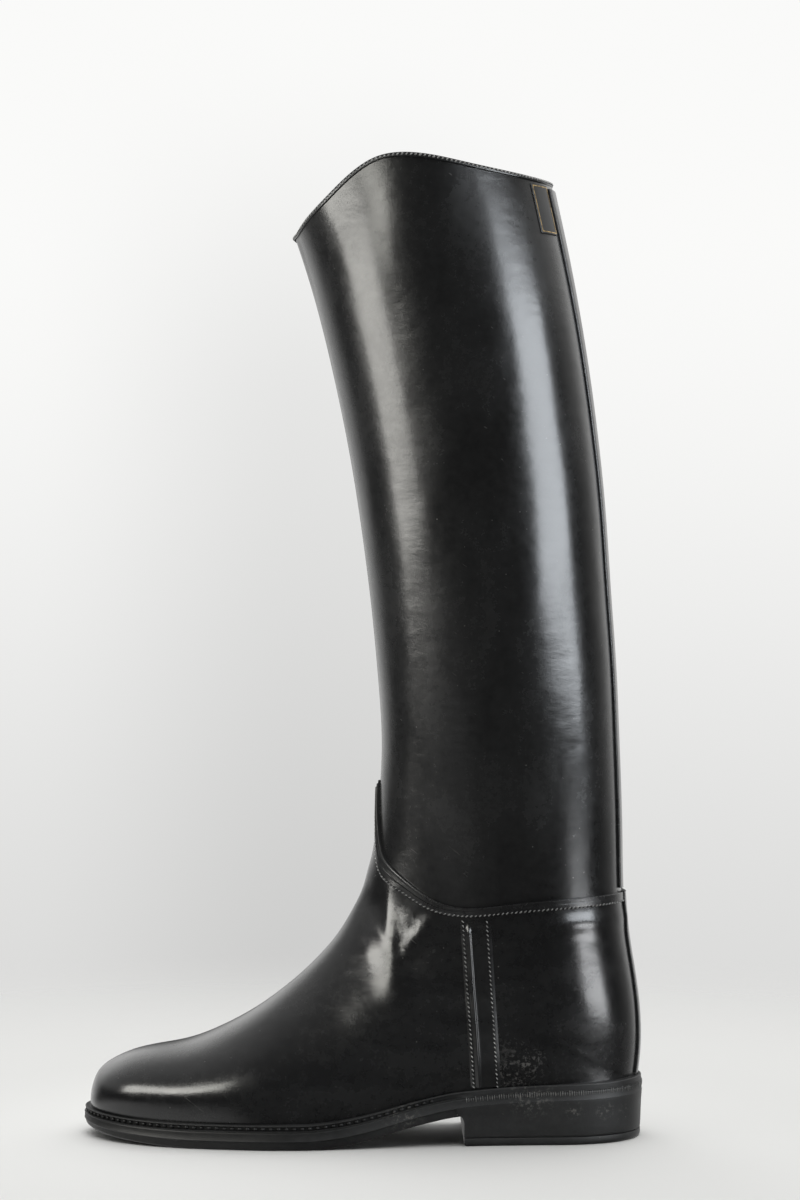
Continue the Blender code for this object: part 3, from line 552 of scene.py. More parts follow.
    def normal(self, s: Any, t: Any) -> Array:
        """Outward directions of the wall.

        Args:
            s: sections.
            t: places on the girth.

        Returns:
            The unit directions.
        """
        s, t = np.broadcast_arrays(np.asarray(s, float), np.asarray(t, float))
        small_s, small_t = 0.4, 0.004
        along = self.skin(s + small_s, t) - self.skin(np.maximum(s - small_s, 0.0), t)
        around = self.skin(s, t + small_t) - self.skin(s, t - small_t)
        out = np.cross(along, around)
        out = out / np.maximum(np.linalg.norm(out, axis=-1, keepdims=True), 1e-12)
        return np.where((s < 1e-6)[..., None], np.array([-1.0, 0.0, 0.0]), out)

    def crease_height(self, points: Array) -> Array:
        """Height that the listed creases and the slack of the wall add to the skin.

        Args:
            points: points of the skin.

        Returns:
            The heights.
        """
        x, y, z = points[..., 0], points[..., 1], points[..., 2]
        height = np.zeros(x.shape)
        for crease in CREASES:
            start, end = np.array(crease.start), np.array(crease.end)
            way = end - start
            run = ((x - start[0]) * way[0] + (z - start[1]) * way[1]) / (way @ way)
            near = np.clip(run, 0.0, 1.0)
            away = np.hypot(x - start[0] - near * way[0], z - start[1] - near * way[1])
            swell = np.sin(np.pi * (self.crease_start + self.crease_span * near))
            on_side = ease(0.0, self.crease_edge, crease.side.value * y)
            height -= crease.depth * swell * on_side * np.exp(-(away / crease.width) ** 2)
        slack = ease(*self.slack_start, z) * (1.0 - ease(*self.slack_stop, z))
        sway, sway_length = self.wave_sway
        run_x, run_y, run_z = self.wave_run
        wave = np.sin(z / self.wave_rise + sway * np.sin(x / sway_length))
        wave = wave * np.sin(x / run_x + z / run_z + y / run_y)
        return height + self.slack * slack * wave

    def surface(self, s: Any, t: Any, height: Any) -> Array:
        """Points at heights above the leg's own wall, creases included."""
        points = self.skin(s, t)
        return points + self.normal(s, t) * (height + self.crease_height(points))[..., None]

    def section_at_turn(self, turn: Array) -> Array:
        """Section whose rear end stands at a turn of the feather line."""
        rows = np.linspace(0.0, self.heel_s, self.turn_rows)
        return np.interp(turn, np.maximum.accumulate(self.rear_turn(rows)), rows)

    def halve(self, low: Array, high: Array, short: Callable[[Array], Array]) -> Array:
        """Places at which a growing measure passes its mark, by halving.

        Args:
            low: places before the mark.
            high: places past it.
            short: tells which places still fall short of it.

        Returns:
            The places.
        """
        for _ in range(self.halvings):
            middle = (low + high) / 2.0
            before = short(middle)
            low, high = np.where(before, middle, low), np.where(before, high, middle)
        return (low + high) / 2.0

    def section_at_height(self, t: Any, height: Any) -> Array:
        """Sections at which girth lines pass given heights.

        Args:
            t: places on the girth.
            height: heights, one for each place.

        Returns:
            The sections.
        """
        t, height = np.asarray(t, float), np.asarray(height, float)
        low = np.full(t.shape, self.heel_s - self.search_below)
        high = np.full(t.shape, self.top_s)
        return self.halve(low, high, lambda s: self.skin(s, t)[..., 2] < height)

    def round_share(self, t: Any) -> Array:
        """Share of the way round the girth, from the front (0) to the back (1)."""
        return np.abs(1.0 - 2.0 * np.asarray(t, float))

    def collar(self, t: Array) -> Array:
        """Height of the collar's edge."""
        share = self.round_share(t)
        return np.where(np.asarray(t) < 0.5, self.collar_outer(share), self.collar_inner(share))

    def back_place(self, s: Array, arc: Array) -> Array:
        """Girth place at an arc from the middle of the back, the outer side first."""
        share = np.asarray(arc, float) / self.half_girth(s) / 2.0
        return np.where(share >= 0.0, share, 1.0 + share)

    def flank_place(self, x: Array, z: Array, side: Side) -> tuple[Array, Array]:
        """Sections and girth places of points on one side, by their places in profile.

        Args:
            x: places along the boot.
            z: heights.
            side: side of the boot.

        Returns:
            The sections and the places on the girth.
        """
        rows = np.linspace(1.0, self.top_s, self.flank_rows)
        front, rear, _ = self.section_ends(rows)
        chord = front - rear
        away = chord[:, 0] * (z[..., None] - rear[:, 1]) - chord[:, 1] * (x[..., None] - rear[:, 0])
        turns = np.diff(np.sign(away)) != 0.0
        i = turns.shape[-1] - 1 - np.argmax(turns[..., ::-1], axis=-1)
        first = np.take_along_axis(away, i[..., None], -1)[..., 0]
        second = np.take_along_axis(away, i[..., None] + 1, -1)[..., 0]
        s = rows[i] + (rows[i + 1] - rows[i]) * first / (first - second)
        ends, base, _ = self.section_ends(s)
        way = ends - base
        wanted = ((np.stack([x, z], -1) - base) * way).sum(-1)

        def short(share: Array) -> Array:
            """Girth places that still fall short of the wanted ones."""
            point = self.skin(s, share if side is Side.OUTER else 1.0 - share)[..., [0, 2]]
            return ((point - base) * way).sum(-1) < wanted

        share = self.halve(np.zeros(s.shape), np.full(s.shape, 0.5), short)
        return s, share if side is Side.OUTER else 1.0 - share


# Shader arithmetic and finishes


@dataclass
class Shade:
    """Value in a material's nodes that takes part in Python arithmetic."""

    paint: "Paint"
    socket: Socket

    def _math(self, operation: str, first: Any, second: Any) -> "Shade":
        """Math node on two values."""
        return self.paint.node("ShaderNodeMath", {"operation": operation}, {0: first, 1: second})

    def __add__(self, other: Any) -> "Shade":
        """Sum."""
        return self._math("ADD", self, other)

    __radd__ = __add__

    def __sub__(self, other: Any) -> "Shade":
        """Difference."""
        return self._math("SUBTRACT", self, other)

    def __rsub__(self, other: Any) -> "Shade":
        """Difference from a number."""
        return self._math("SUBTRACT", other, self)

    def __mul__(self, other: Any) -> "Shade":
        """Product."""
        return self._math("MULTIPLY", self, other)

    __rmul__ = __mul__

    def __abs__(self) -> "Shade":
        """Size without its sign."""
        return self.paint.node("ShaderNodeMath", {"operation": "ABSOLUTE"}, {0: self})

    def rise(self, low: float, high: float) -> "Shade":
        """Smooth rise of the value from 0 at low to 1 at high."""
        inputs = {"Value": self, "From Min": low, "From Max": high}
        return self.paint.node("ShaderNodeMapRange", {"interpolation_type": "SMOOTHSTEP"}, inputs)


def feed(tree: bpy.types.NodeTree, socket: Socket, value: Any) -> None:
    """Link a value to a socket, or set a number on it.

    Args:
        tree: the node tree.
        socket: the socket that is fed.
        value: a value of the tree, a socket or a plain number.
    """
    source = value.socket if isinstance(value, Shade) else value
    if isinstance(source, Socket):
        tree.links.new(source, socket)
    else:
        socket.default_value = source


def add_node(tree: bpy.types.NodeTree, kind: str, settings: dict[str, Any] | None = None,
             inputs: dict[Any, Any] | None = None) -> bpy.types.Node:
    """Add a node to a tree.

    Args:
        tree: the node tree.
        kind: the node's type.
        settings: its settings, set before its sockets.
        inputs: values or links of its sockets.

    Returns:
        The node.
    """
    made = tree.nodes.new(kind)
    for key, value in (settings or {}).items():
        setattr(made, key, value)
    for key, value in (inputs or {}).items():
        feed(tree, made.inputs[key], value)
    return made


class Paint:
    """Node tree of one material or of the room."""

    def __init__(self, owner: Material | bpy.types.World, shader: str = "Principled BSDF") -> None:
        """Start a tree.

        Args:
            owner: the material or the world.
            shader: name of the node that the tree feeds.
        """
        owner.use_nodes = True
        self.owner = owner
        self.tree = owner.node_tree
        self.shader = self.tree.nodes[shader]

    @classmethod
    def named(cls, name: str) -> "Paint":
        """Tree of a new material."""
        return cls(bpy.data.materials.new(name))

    def node(self, kind: str, settings: dict[str, Any] | None = None, inputs: dict[Any, Any] | None = None,
             output: int | str = 0) -> Shade:
        """Value of one socket of a new node."""
        return Shade(self, add_node(self.tree, kind, settings, inputs).outputs[output])

    def place(self, stretch: Colour = (1.0, 1.0, 1.0), turn: Colour = (0.0, 0.0, 0.0)) -> Shade:
        """Coordinates of the piece, turned and stretched along its axes.

        Args:
            stretch: factor along each axis.
            turn: turn about each axis.

        Returns:
            The coordinates.
        """
        source = self.node("ShaderNodeTexCoord", output="Object")
        turned = self.node("ShaderNodeMapping", inputs={"Vector": source, "Rotation": turn})
        return self.node("ShaderNodeVectorMath", {"operation": "MULTIPLY"}, {0: turned, 1: stretch})

    def axis(self, place: Shade, name: str) -> Shade:
        """One of the coordinates of a place."""
        return self.node("ShaderNodeSeparateXYZ", inputs={0: place}, output=name)

    def noise(self, place: Shade, scale: float, detail: float = 3.0, roughness: float = 0.5) -> Shade:
        """Cloudy noise between about 0.2 and 0.8."""
        inputs = {"Vector": place, "Scale": scale, "Detail": detail, "Roughness": roughness}
        return self.node("ShaderNodeTexNoise", inputs=inputs)

    def mix(self, share: Any, first: Any, second: Any) -> Shade:
        """Colour between two colours."""
        ends = [(*c, 1.0) if isinstance(c, tuple) else c for c in (first, second)]
        return self.node("ShaderNodeMix", {"data_type": "RGBA"}, {0: share, 6: ends[0], 7: ends[1]}, output=2)

    def bump(self, height: Shade, distance: float, strength: float, below: Shade | None = None) -> Shade:
        """Normal bent by a height, over another bump where there is one."""
        inputs = {"Height": height, "Distance": distance, "Strength": strength}
        return self.node("ShaderNodeBump", inputs=inputs | ({"Normal": below} if below else {}))

    def finish(self, inputs: dict[str, Any]) -> Material | bpy.types.World:
        """Feed the shader.

        Args:
            inputs: values or links of its sockets.

        Returns:
            The material or the world.
        """
        for key, value in inputs.items():
            feed(self.tree, self.shader.inputs[key], (*value, 1.0) if isinstance(value, tuple) else value)
        return self.owner


class Mark(NamedTuple):
    """Dusty scuff on the outer side, in metres: its place in profile and its reach."""

    x: float
    z: float
    reach: float


@dataclass(frozen=True)
class RubberFinish:
    """Black rubber with a soft gloss, a cloudy bloom, dust specks and scuffs."""

    name: str
    tone: Colour = (0.0138, 0.0140, 0.0146)
    bloom: Colour = (0.060, 0.061, 0.060)
    dust: Colour = (0.24, 0.23, 0.21)
    roughness: float = 0.25
    coat: float = 0.18
    shine: float = 0.5
    bloom_share: float = 0.16
    leg_haze: float = 0.14
    speck_share: float = 0.5
    scuff_share: float = 0.35
    grain: float = 0.10
    waves: float = 0.12
    marks: tuple[Mark, ...] = ()
    ankle: Span = (0.09, 0.15)
    cloud_scale: float = 13.0
    wipe_scale: float = 60.0
    wipe_upright: Triple = (1.0, 1.0, 0.32)
    wipe_level: Triple = (0.3, 0.5, 1.3)
    smudge_span: Span = (0.34, 0.68)
    fine_scale: float = 240.0
    patch_scale: float = 24.0
    patch_span: Span = (0.42, 0.62)
    speck_scale: float = 300.0
    speck_reach: Span = (0.05, 0.13)
    speck_chance: Span = (0.88, 0.97)
    speck_least: float = 0.35
    streak_stretch: Triple = (620.0, 620.0, 36.0)
    streak_turn: Triple = (0.35, 0.9, 0.0)
    streak_span: Span = (0.74, 0.84)
    streak_share: float = 0.6
    crumb_scale: float = 480.0
    crumb_span: Span = (0.50, 0.66)
    outer_span: Span = (-0.012, 0.0)
    mark_core: float = 0.2
    wave_scales: Span = (30.0, 70.0)
    wave_stretch: Triple = (1.0, 1.0, 2.2)
    wave_depths: Triple = (0.004, 0.0012, 0.0005)
    grain_scale: float = 1500.0
    grain_depth: float = 0.0002
    coat_roughness: float = 0.16

    def make(self) -> Material:
        """Build the material.

        Returns:
            The material.
        """
        paint = Paint.named(self.name)
        place = paint.place()
        leg = paint.axis(place, "Z").rise(*self.ankle)
        fine = paint.noise(place, self.fine_scale, 5.0, 0.7)
        smudge = self.smudge(paint, leg)
        wear, speck = self.wear(paint)
        # The colour is made lighter on the leg above the ankle than on the foot.
        haze = (smudge + (fine - 0.5) * 2.0) * self.bloom_share + leg * self.leg_haze
        colour = paint.mix(haze, self.tone, self.bloom)
        colour = paint.mix(wear * self.scuff_share, colour, self.dust)
        colour = paint.mix(speck * self.speck_share, colour, self.dust)
        rough = self.roughness + (smudge - 0.5) * 0.10 + (fine - 0.5) * 0.16 + wear * 0.25 + speck * 0.3
        low, high = self.wave_scales
        deep, shallow, slight = self.wave_depths
        swell = paint.bump(paint.noise(place, low, 2.0, 0.45), deep, self.waves)
        ripple = paint.noise(paint.place(self.wave_stretch), high, 2.0, 0.5)
        swell = paint.bump(ripple, shallow, self.waves, swell)
        swell = paint.bump(fine, slight, self.waves, swell)
        grain = paint.noise(place, self.grain_scale, 2.0, 0.6)
        normal = paint.bump(grain, self.grain_depth, self.grain, swell)
        return paint.finish({"Base Color": colour, "Roughness": rough, "Normal": normal,
                             "Specular IOR Level": self.shine, "Coat Weight": self.coat,
                             "Coat Roughness": self.coat_roughness})

    def smudge(self, paint: Paint, leg: Shade) -> Shade:
        """Cloudy bloom, wiped upright on the leg and level on the foot.

        Args:
            paint: the material's tree.
            leg: 0 on the foot and 1 on the leg.

        Returns:
            The share of bloom.
        """
        cloud = paint.noise(paint.place(), self.cloud_scale, 2.0)
        upright = paint.noise(paint.place(self.wipe_upright), self.wipe_scale, 2.0)
        level = paint.noise(paint.place(self.wipe_level), self.wipe_scale, 2.0)
        wipe = leg * upright + (1.0 - leg) * level
        return (cloud * 0.5 + wipe * 0.5).rise(*self.smudge_span)

    def wear(self, paint: Paint) -> tuple[Shade, Shade]:
        """Scuffs and dust specks.

        Args:
            paint: the material's tree.

        Returns:
            The shares of scuffs and of specks.
        """
        place = paint.place()
        cells = {"Vector": place, "Scale": self.speck_scale, "Randomness": 1.0}
        distance = paint.node("ShaderNodeTexVoronoi", inputs=cells, output="Distance")
        colour = paint.node("ShaderNodeTexVoronoi", inputs=cells, output="Color")
        chance = paint.node("ShaderNodeSeparateColor", inputs={"Color": colour}, output="Red")
        patchy = paint.noise(place, self.patch_scale, 2.0).rise(*self.patch_span)
        speck = (1.0 - distance.rise(*self.speck_reach)) * chance.rise(*self.speck_chance)
        speck = speck * (self.speck_least + patchy * (1.0 - self.speck_least))
        streak = paint.noise(paint.place(self.streak_stretch, self.streak_turn), 1.0, 1.0)
        wear = streak.rise(*self.streak_span) * patchy * self.streak_share
        outer = 1.0 - paint.axis(place, "Y").rise(*self.outer_span)
        crumbs = paint.noise(place, self.crumb_scale, 3.0, 0.7).rise(*self.crumb_span) * outer
        flat = paint.place((1.0, 0.0, 1.0))
        for mark in self.marks:
            away = paint.node("ShaderNodeVectorMath", {"operation": "DISTANCE"},
                              {0: flat, 1: (mark.x, 0.0, mark.z)}, output="Value")
            wear = wear + (1.0 - away.rise(self.mark_core * mark.reach, mark.reach)) * crumbs
        return wear, speck


@dataclass(frozen=True)
class ClothFinish:
    """Plain woven cloth, read from the piece's own flat map in metres."""

    name: str
    tone: Colour
    shade: Colour
    threads: float = 620.0
    thread_depth: float = 0.0003
    cloud_scale: float = 40.0
    cloud_span: Span = (0.3, 0.8)
    roughness: float = 0.88
    sheen: float = 0.2

    def make(self) -> Material:
        """Build the material.

        Returns:
            The material.
        """
        paint = Paint.named(self.name)
        weave = paint.node("ShaderNodeUVMap", {"uv_map": "weave"})
        waves = []
        for direction in ("X", "Y"):
            settings = {"wave_type": "BANDS", "bands_direction": direction}
            inputs = {"Vector": weave, "Scale": self.threads, "Distortion": 0.6, "Detail": 1.0}
            waves.append(paint.node("ShaderNodeTexWave", settings, inputs, output="Fac"))
        thread = waves[0] * waves[1]
        cloud = paint.noise(paint.place(), self.cloud_scale, 4.0)
        share = thread * 0.5 + cloud.rise(*self.cloud_span) * 0.4
        colour = paint.mix(share, self.shade, self.tone)
        normal = paint.bump(thread, self.thread_depth, 0.5)
        return paint.finish({"Base Color": colour, "Roughness": self.roughness + cloud * 0.1,
                             "Normal": normal, "Sheen Weight": self.sheen})


@dataclass(frozen=True)
class GoldFinish:
    """Thin printed gold line, a little worn."""

    name: str
    tone: Colour = (0.62, 0.44, 0.20)
    worn: Colour = (0.25, 0.18, 0.09)
    wear_scale: float = 420.0
    wear_span: Span = (0.45, 0.62)
    roughness: float = 0.36
    metal: float = 0.8

    def make(self) -> Material:
        """Build the material.

        Returns:
            The material.
        """
        paint = Paint.named(self.name)
        wear = paint.noise(paint.place(), self.wear_scale, 4.0).rise(*self.wear_span)
        colour = paint.mix(wear, self.tone, self.worn)
        rough = self.roughness + wear * 0.3
        return paint.finish({"Base Color": colour, "Roughness": rough, "Metallic": self.metal})


class Finishes:
    """Every finish of the boot, made once."""

    def __init__(self) -> None:
        """Make the finishes."""
        upper_marks = (Mark(0.0735, 0.0375, 0.017), Mark(0.0835, 0.042, 0.008))
        tick_marks = (Mark(0.080, 0.0245, 0.024), Mark(0.088, 0.0252, 0.012))
        sole_marks = (Mark(0.083, 0.0255, 0.015), Mark(0.119, 0.0165, 0.006), Mark(0.104, 0.0175, 0.006),
                      Mark(0.1285, 0.0165, 0.003), Mark(0.020, 0.016, 0.012))
        self.upper = RubberFinish("upper_rubber_gloss", marks=upper_marks).make()
        self.trim = RubberFinish("trim_rubber_gloss", roughness=0.3, scuff_share=0.25).make()
        # Pale stitch colour: dust on the raised stitch tops, and a painted highlight that stands in for the
        # glints they catch from the lights.
        self.stitch = RubberFinish(
            "stitch_rubber_worn", tone=(0.20, 0.20, 0.195), bloom=(0.50, 0.50, 0.48), roughness=0.34,
            bloom_share=0.8, waves=0.0).make()
        self.tick = RubberFinish(
            "tick_rubber_worn", tone=(0.045, 0.045, 0.045), bloom=(0.40, 0.40, 0.38), roughness=0.42,
            coat=0.0, bloom_share=0.4, scuff_share=1.0, waves=0.0, marks=tick_marks).make()
        self.sole = RubberFinish(
            "sole_rubber_satin", tone=(0.0165, 0.0166, 0.0168), roughness=0.5, coat=0.0, shine=0.3,
            bloom_share=0.25, leg_haze=0.0, scuff_share=0.4, speck_share=0.6, grain=0.25, waves=0.08,
            marks=sole_marks).make()
        self.lining = ClothFinish("lining_cloth", (0.16, 0.15, 0.13), (0.07, 0.065, 0.055)).make()
        self.insole = ClothFinish("insole_cloth_grey", (0.22, 0.20, 0.17), (0.09, 0.08, 0.07), 480.0).make()
        self.label = RubberFinish(
            "label_rubber_satin", tone=(0.011, 0.0108, 0.0105), roughness=0.42, coat=0.0).make()
        self.gold = GoldFinish("label_line_gold").make()


# Meshes


def add_piece(name: str, points: Any, faces: Sequence[Face], material: Material,
              sharp: float = SHARP) -> Piece:
    """Object from points in millimetres, with its faces turned outwards.

    Args:
        name: the piece's name.
        points: its points.
        faces: its faces.
        material: its finish.
        sharp: angle in degrees above which an edge stays sharp.

    Returns:
        The object.
    """
    mesh = bpy.data.meshes.new(name)
    mesh.from_pydata((np.asarray(points, float) * MM).tolist(), [], faces)
    mesh.validate()
    mesh.materials.append(material)
    mesh.shade_smooth()
    mesh.set_sharp_from_angle(angle=np.radians(sharp))
    piece = bpy.data.objects.new(name, mesh)
    bpy.context.scene.collection.objects.link(piece)
    turn_outwards(piece)
    return piece


def turn_outwards(piece: Piece) -> None:
    """Flip a closed mesh whose faces point inwards.

    Args:
        piece: the object.
    """
    mesh = piece.data
    mesh.calc_loop_triangles()
    corners = np.zeros(len(mesh.loop_triangles) * 3, np.int32)
    mesh.loop_triangles.foreach_get("vertices", corners)
    places = np.zeros(len(mesh.vertices) * 3, np.float32)
    mesh.vertices.foreach_get("co", places)
    a, b, c = places.reshape(-1, 3).astype(float)[corners.reshape(-1, 3)].transpose(1, 0, 2)
    if np.einsum("ij,ij->i", a, np.cross(b, c)).sum() < 0.0:
        mesh.flip_normals()


def seat(piece: Piece, slot: Slot, *nodes: str) -> None:
    """Fix a piece to the boot's body and report it.

    Args:
        piece: the object.
        slot: material slot of the solids that it stands for; not used.
        nodes: solids that it stands for.
    """
    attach(piece, BODY)
    if nodes:
        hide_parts(*nodes)
    LOG.info("%s: %d faces", piece.name, len(piece.data.polygons))


def quads(rows: int, size: int, round_rows: bool = False, round_size: bool = True) -> list[Face]:
    """Quads of a grid of points.

    Args:
        rows: rows of the grid.
        size: points in a row.
        round_rows: True where the last row meets the first.
        round_size: True where a row's last point meets its first.

    Returns:
        The quads.
    """
    spans = [(i * size, (i + 1) % rows * size) for i in range(rows if round_rows else rows - 1)]
    steps = [(j, (j + 1) % size) for j in range(size if round_size else size - 1)]
    return [(a + j, a + k, b + k, b + j) for a, b in spans for j, k in steps]


def add_face(faces: list[Face], corners: Sequence[int], flip: bool = False) -> None:
    """Keep a face that has three corners or more.

    Args:
        faces: the faces so far.
        corners: its corners, some of which may be one point.
        flip: True where it looks the other way.
    """
    unique = tuple(dict.fromkeys(corners))
    if len(unique) > 2:
        faces.append(unique[::-1] if flip else unique)


def add_tube(name: str, rings: Any, material: Material, closed: bool = False) -> Piece:
    """Piece through a row of rings of points.

    Args:
        name: the piece's name.
        rings: the rings.
        material: its finish.
        closed: True where the last ring meets the first; else the ends are capped.

    Returns:
        The object.
    """
    rings = np.asarray(rings)
    count, size = rings.shape[:2]
    faces = quads(count, size, round_rows=closed)
    if not closed:
        faces += [tuple(range(size)), tuple(range((count - 1) * size, count * size))]
    return add_piece(name, rings.reshape(-1, 3), faces, material)


def map_weave(piece: Piece, places: Array) -> None:
    """Write a flat map of a cloth, in metres.

    Args:
        piece: the cloth.
        places: place of each point on the flat cloth, in millimetres.
    """
    layer = piece.data.uv_layers.new(name="weave")
    corners = np.zeros(len(piece.data.loops), np.int32)
    piece.data.loops.foreach_get("vertex_index", corners)
    layer.data.foreach_set("uv", (places[corners] * MM).astype(np.float32).ravel())


class StitchTree:
    """Geometry node tree that sets rounded stitches along a path with named sizes."""

    SIZES = ("Pitch", "Length", "Width", "Height", "Slant", "Unevenness")
    BEAD = {"Segments": 8, "Rings": 6, "Radius": 0.5}

    def __init__(self) -> None:
        """Build the tree: path, even points, turned and scaled stitches, one real mesh."""
        self.tree = bpy.data.node_groups.new("stitches_along_path", "GeometryNodeTree")
        face = self.tree.interface
        face.new_socket("Path", in_out="INPUT", socket_type="NodeSocketGeometry")
        self.sockets: dict[str, str] = {}
        kinds = {name: "NodeSocketFloat" for name in self.SIZES}
        kinds |= {"Seed": "NodeSocketInt", "Finish": "NodeSocketMaterial"}
        for name, kind in kinds.items():
            self.sockets[name] = face.new_socket(name, in_out="INPUT", socket_type=kind).identifier
        face.new_socket("Stitches", in_out="OUTPUT", socket_type="NodeSocketGeometry")
        given = self.add("NodeGroupInput")
        path = self.add("GeometryNodeMeshToCurve", {}, {"Mesh": given["Path"]})
        even = self.add("GeometryNodeResampleCurve", {"mode": "LENGTH"},
                        {"Curve": path[0], "Length": given["Pitch"]})
        size = self.add("ShaderNodeCombineXYZ", {}, {0: given["Length"], 1: given["Width"],
                                                     2: given["Height"]})
        bead = self.add("GeometryNodeMeshUVSphere", {}, self.BEAD)
        smooth = self.add("GeometryNodeSetShadeSmooth", {}, {"Geometry": bead["Mesh"]})
        stitch = self.add("GeometryNodeTransform", {},
                          {"Geometry": smooth[0], "Scale": size[0]})
        tangent = self.add("GeometryNodeInputTangent")
        up = self.add("GeometryNodeInputNamedAttribute", {"data_type": "FLOAT_VECTOR"}, {"Name": "up"})
        first = self.add("FunctionNodeAlignRotationToVector", {"axis": "Z"}, {"Vector": up[0]})
        second = self.add("FunctionNodeAlignRotationToVector", {"axis": "X", "pivot_axis": "Z"},
                          {"Rotation": first[0], "Vector": tangent[0]})
        slant = self.add("ShaderNodeCombineXYZ", {}, {2: given["Slant"]})
        turned = self.add("FunctionNodeRotateRotation", {"rotation_space": "LOCAL"},
                          {"Rotation": second[0], "Rotate By": slant[0]})
        least = self.add("ShaderNodeMath", {"operation": "SUBTRACT"},
                         {0: 1.0, 1: given["Unevenness"]})
        chance = self.add("FunctionNodeRandomValue", {"data_type": "FLOAT"},
                          {2: least[0], 3: 1.0, "Seed": given["Seed"]})
        row = self.add("GeometryNodeInstanceOnPoints", {},
                       {"Points": even[0], "Instance": stitch[0],
                        "Rotation": turned[0], "Scale": chance[1]})
        real = self.add("GeometryNodeRealizeInstances", {}, {"Geometry": row[0]})
        dressed = self.add("GeometryNodeSetMaterial", {}, {"Geometry": real[0],
                                                           "Material": given["Finish"]})
        self.add("NodeGroupOutput", {}, {"Stitches": dressed[0]})

    def add(self, kind: str, settings: dict[str, Any] | None = None,
            inputs: dict[Any, Any] | None = None) -> bpy.types.NodeOutputs:
        """Outputs of a new node."""
        return add_node(self.tree, kind, settings, inputs).outputs


@dataclass(frozen=True)
class StitchRow:
    """Row of moulded stitches, ticks or teeth along one or more paths."""

    name: str
    pitch: float
    length: float
    width: float
    height: float
    slant: float = 0.0
    unevenness: float = 0.12
    seed: int = 7

    def build(self, tree: StitchTree, paths: Sequence[Path], material: Material) -> Piece:
        """Bake the row to a plain mesh.

        Args:
            tree: the stitches' node tree.
            paths: points and upward directions of each path.
            material: the stitches' finish.

        Returns:
            The object.
        """
        points = np.concatenate([p for p, _ in paths])
        ups = np.concatenate([u for _, u in paths])
        edges: list[tuple[int, int]] = []
        start = 0
        for path, _ in paths:
            edges += [(start + i, start + i + 1) for i in range(len(path) - 1)]
            start += len(path)
        mesh = bpy.data.meshes.new(self.name)
        mesh.from_pydata((points * MM).tolist(), edges, [])
        directions = mesh.attributes.new("up", "FLOAT_VECTOR", "POINT")
        directions.data.foreach_set("vector", ups.astype(np.float32).ravel())
        row = bpy.data.objects.new(self.name, mesh)
        bpy.context.scene.collection.objects.link(row)
        modifier = row.modifiers.new("stitches", "NODES")
        modifier.node_group = tree.tree
        values = {"Pitch": self.pitch * MM, "Length": self.length * MM, "Width": self.width * MM,
                  "Height": self.height * MM, "Slant": float(np.radians(self.slant)),
                  "Unevenness": self.unevenness, "Seed": self.seed, "Finish": material}
        for name, value in values.items():
            modifier[tree.sockets[name]] = value
        graph = bpy.context.evaluated_depsgraph_get()
        baked = bpy.data.meshes.new_from_object(row.evaluated_get(graph), depsgraph=graph)
        row.modifiers.remove(modifier)
        row.data = baked
        bpy.data.meshes.remove(mesh)
        baked.name = self.name
        return row


# Sub-assemblies


@dataclass
class Assembly:
    """Sub-assembly: the form that it follows, the boot's finishes and the stitches' node tree."""

    last: Last
    finishes: Finishes
    tree: StitchTree

    def build(self) -> None:
        """Build and dress the pieces, which each sub-assembly does in its own way."""
        raise NotImplementedError

    def sew(self, row: StitchRow, paths: Sequence[Path], finish: Material, slot: Slot) -> None:
        """Bake a row of stitches and fix it to the boot."""
        seat(row.build(self.tree, paths, finish), slot)


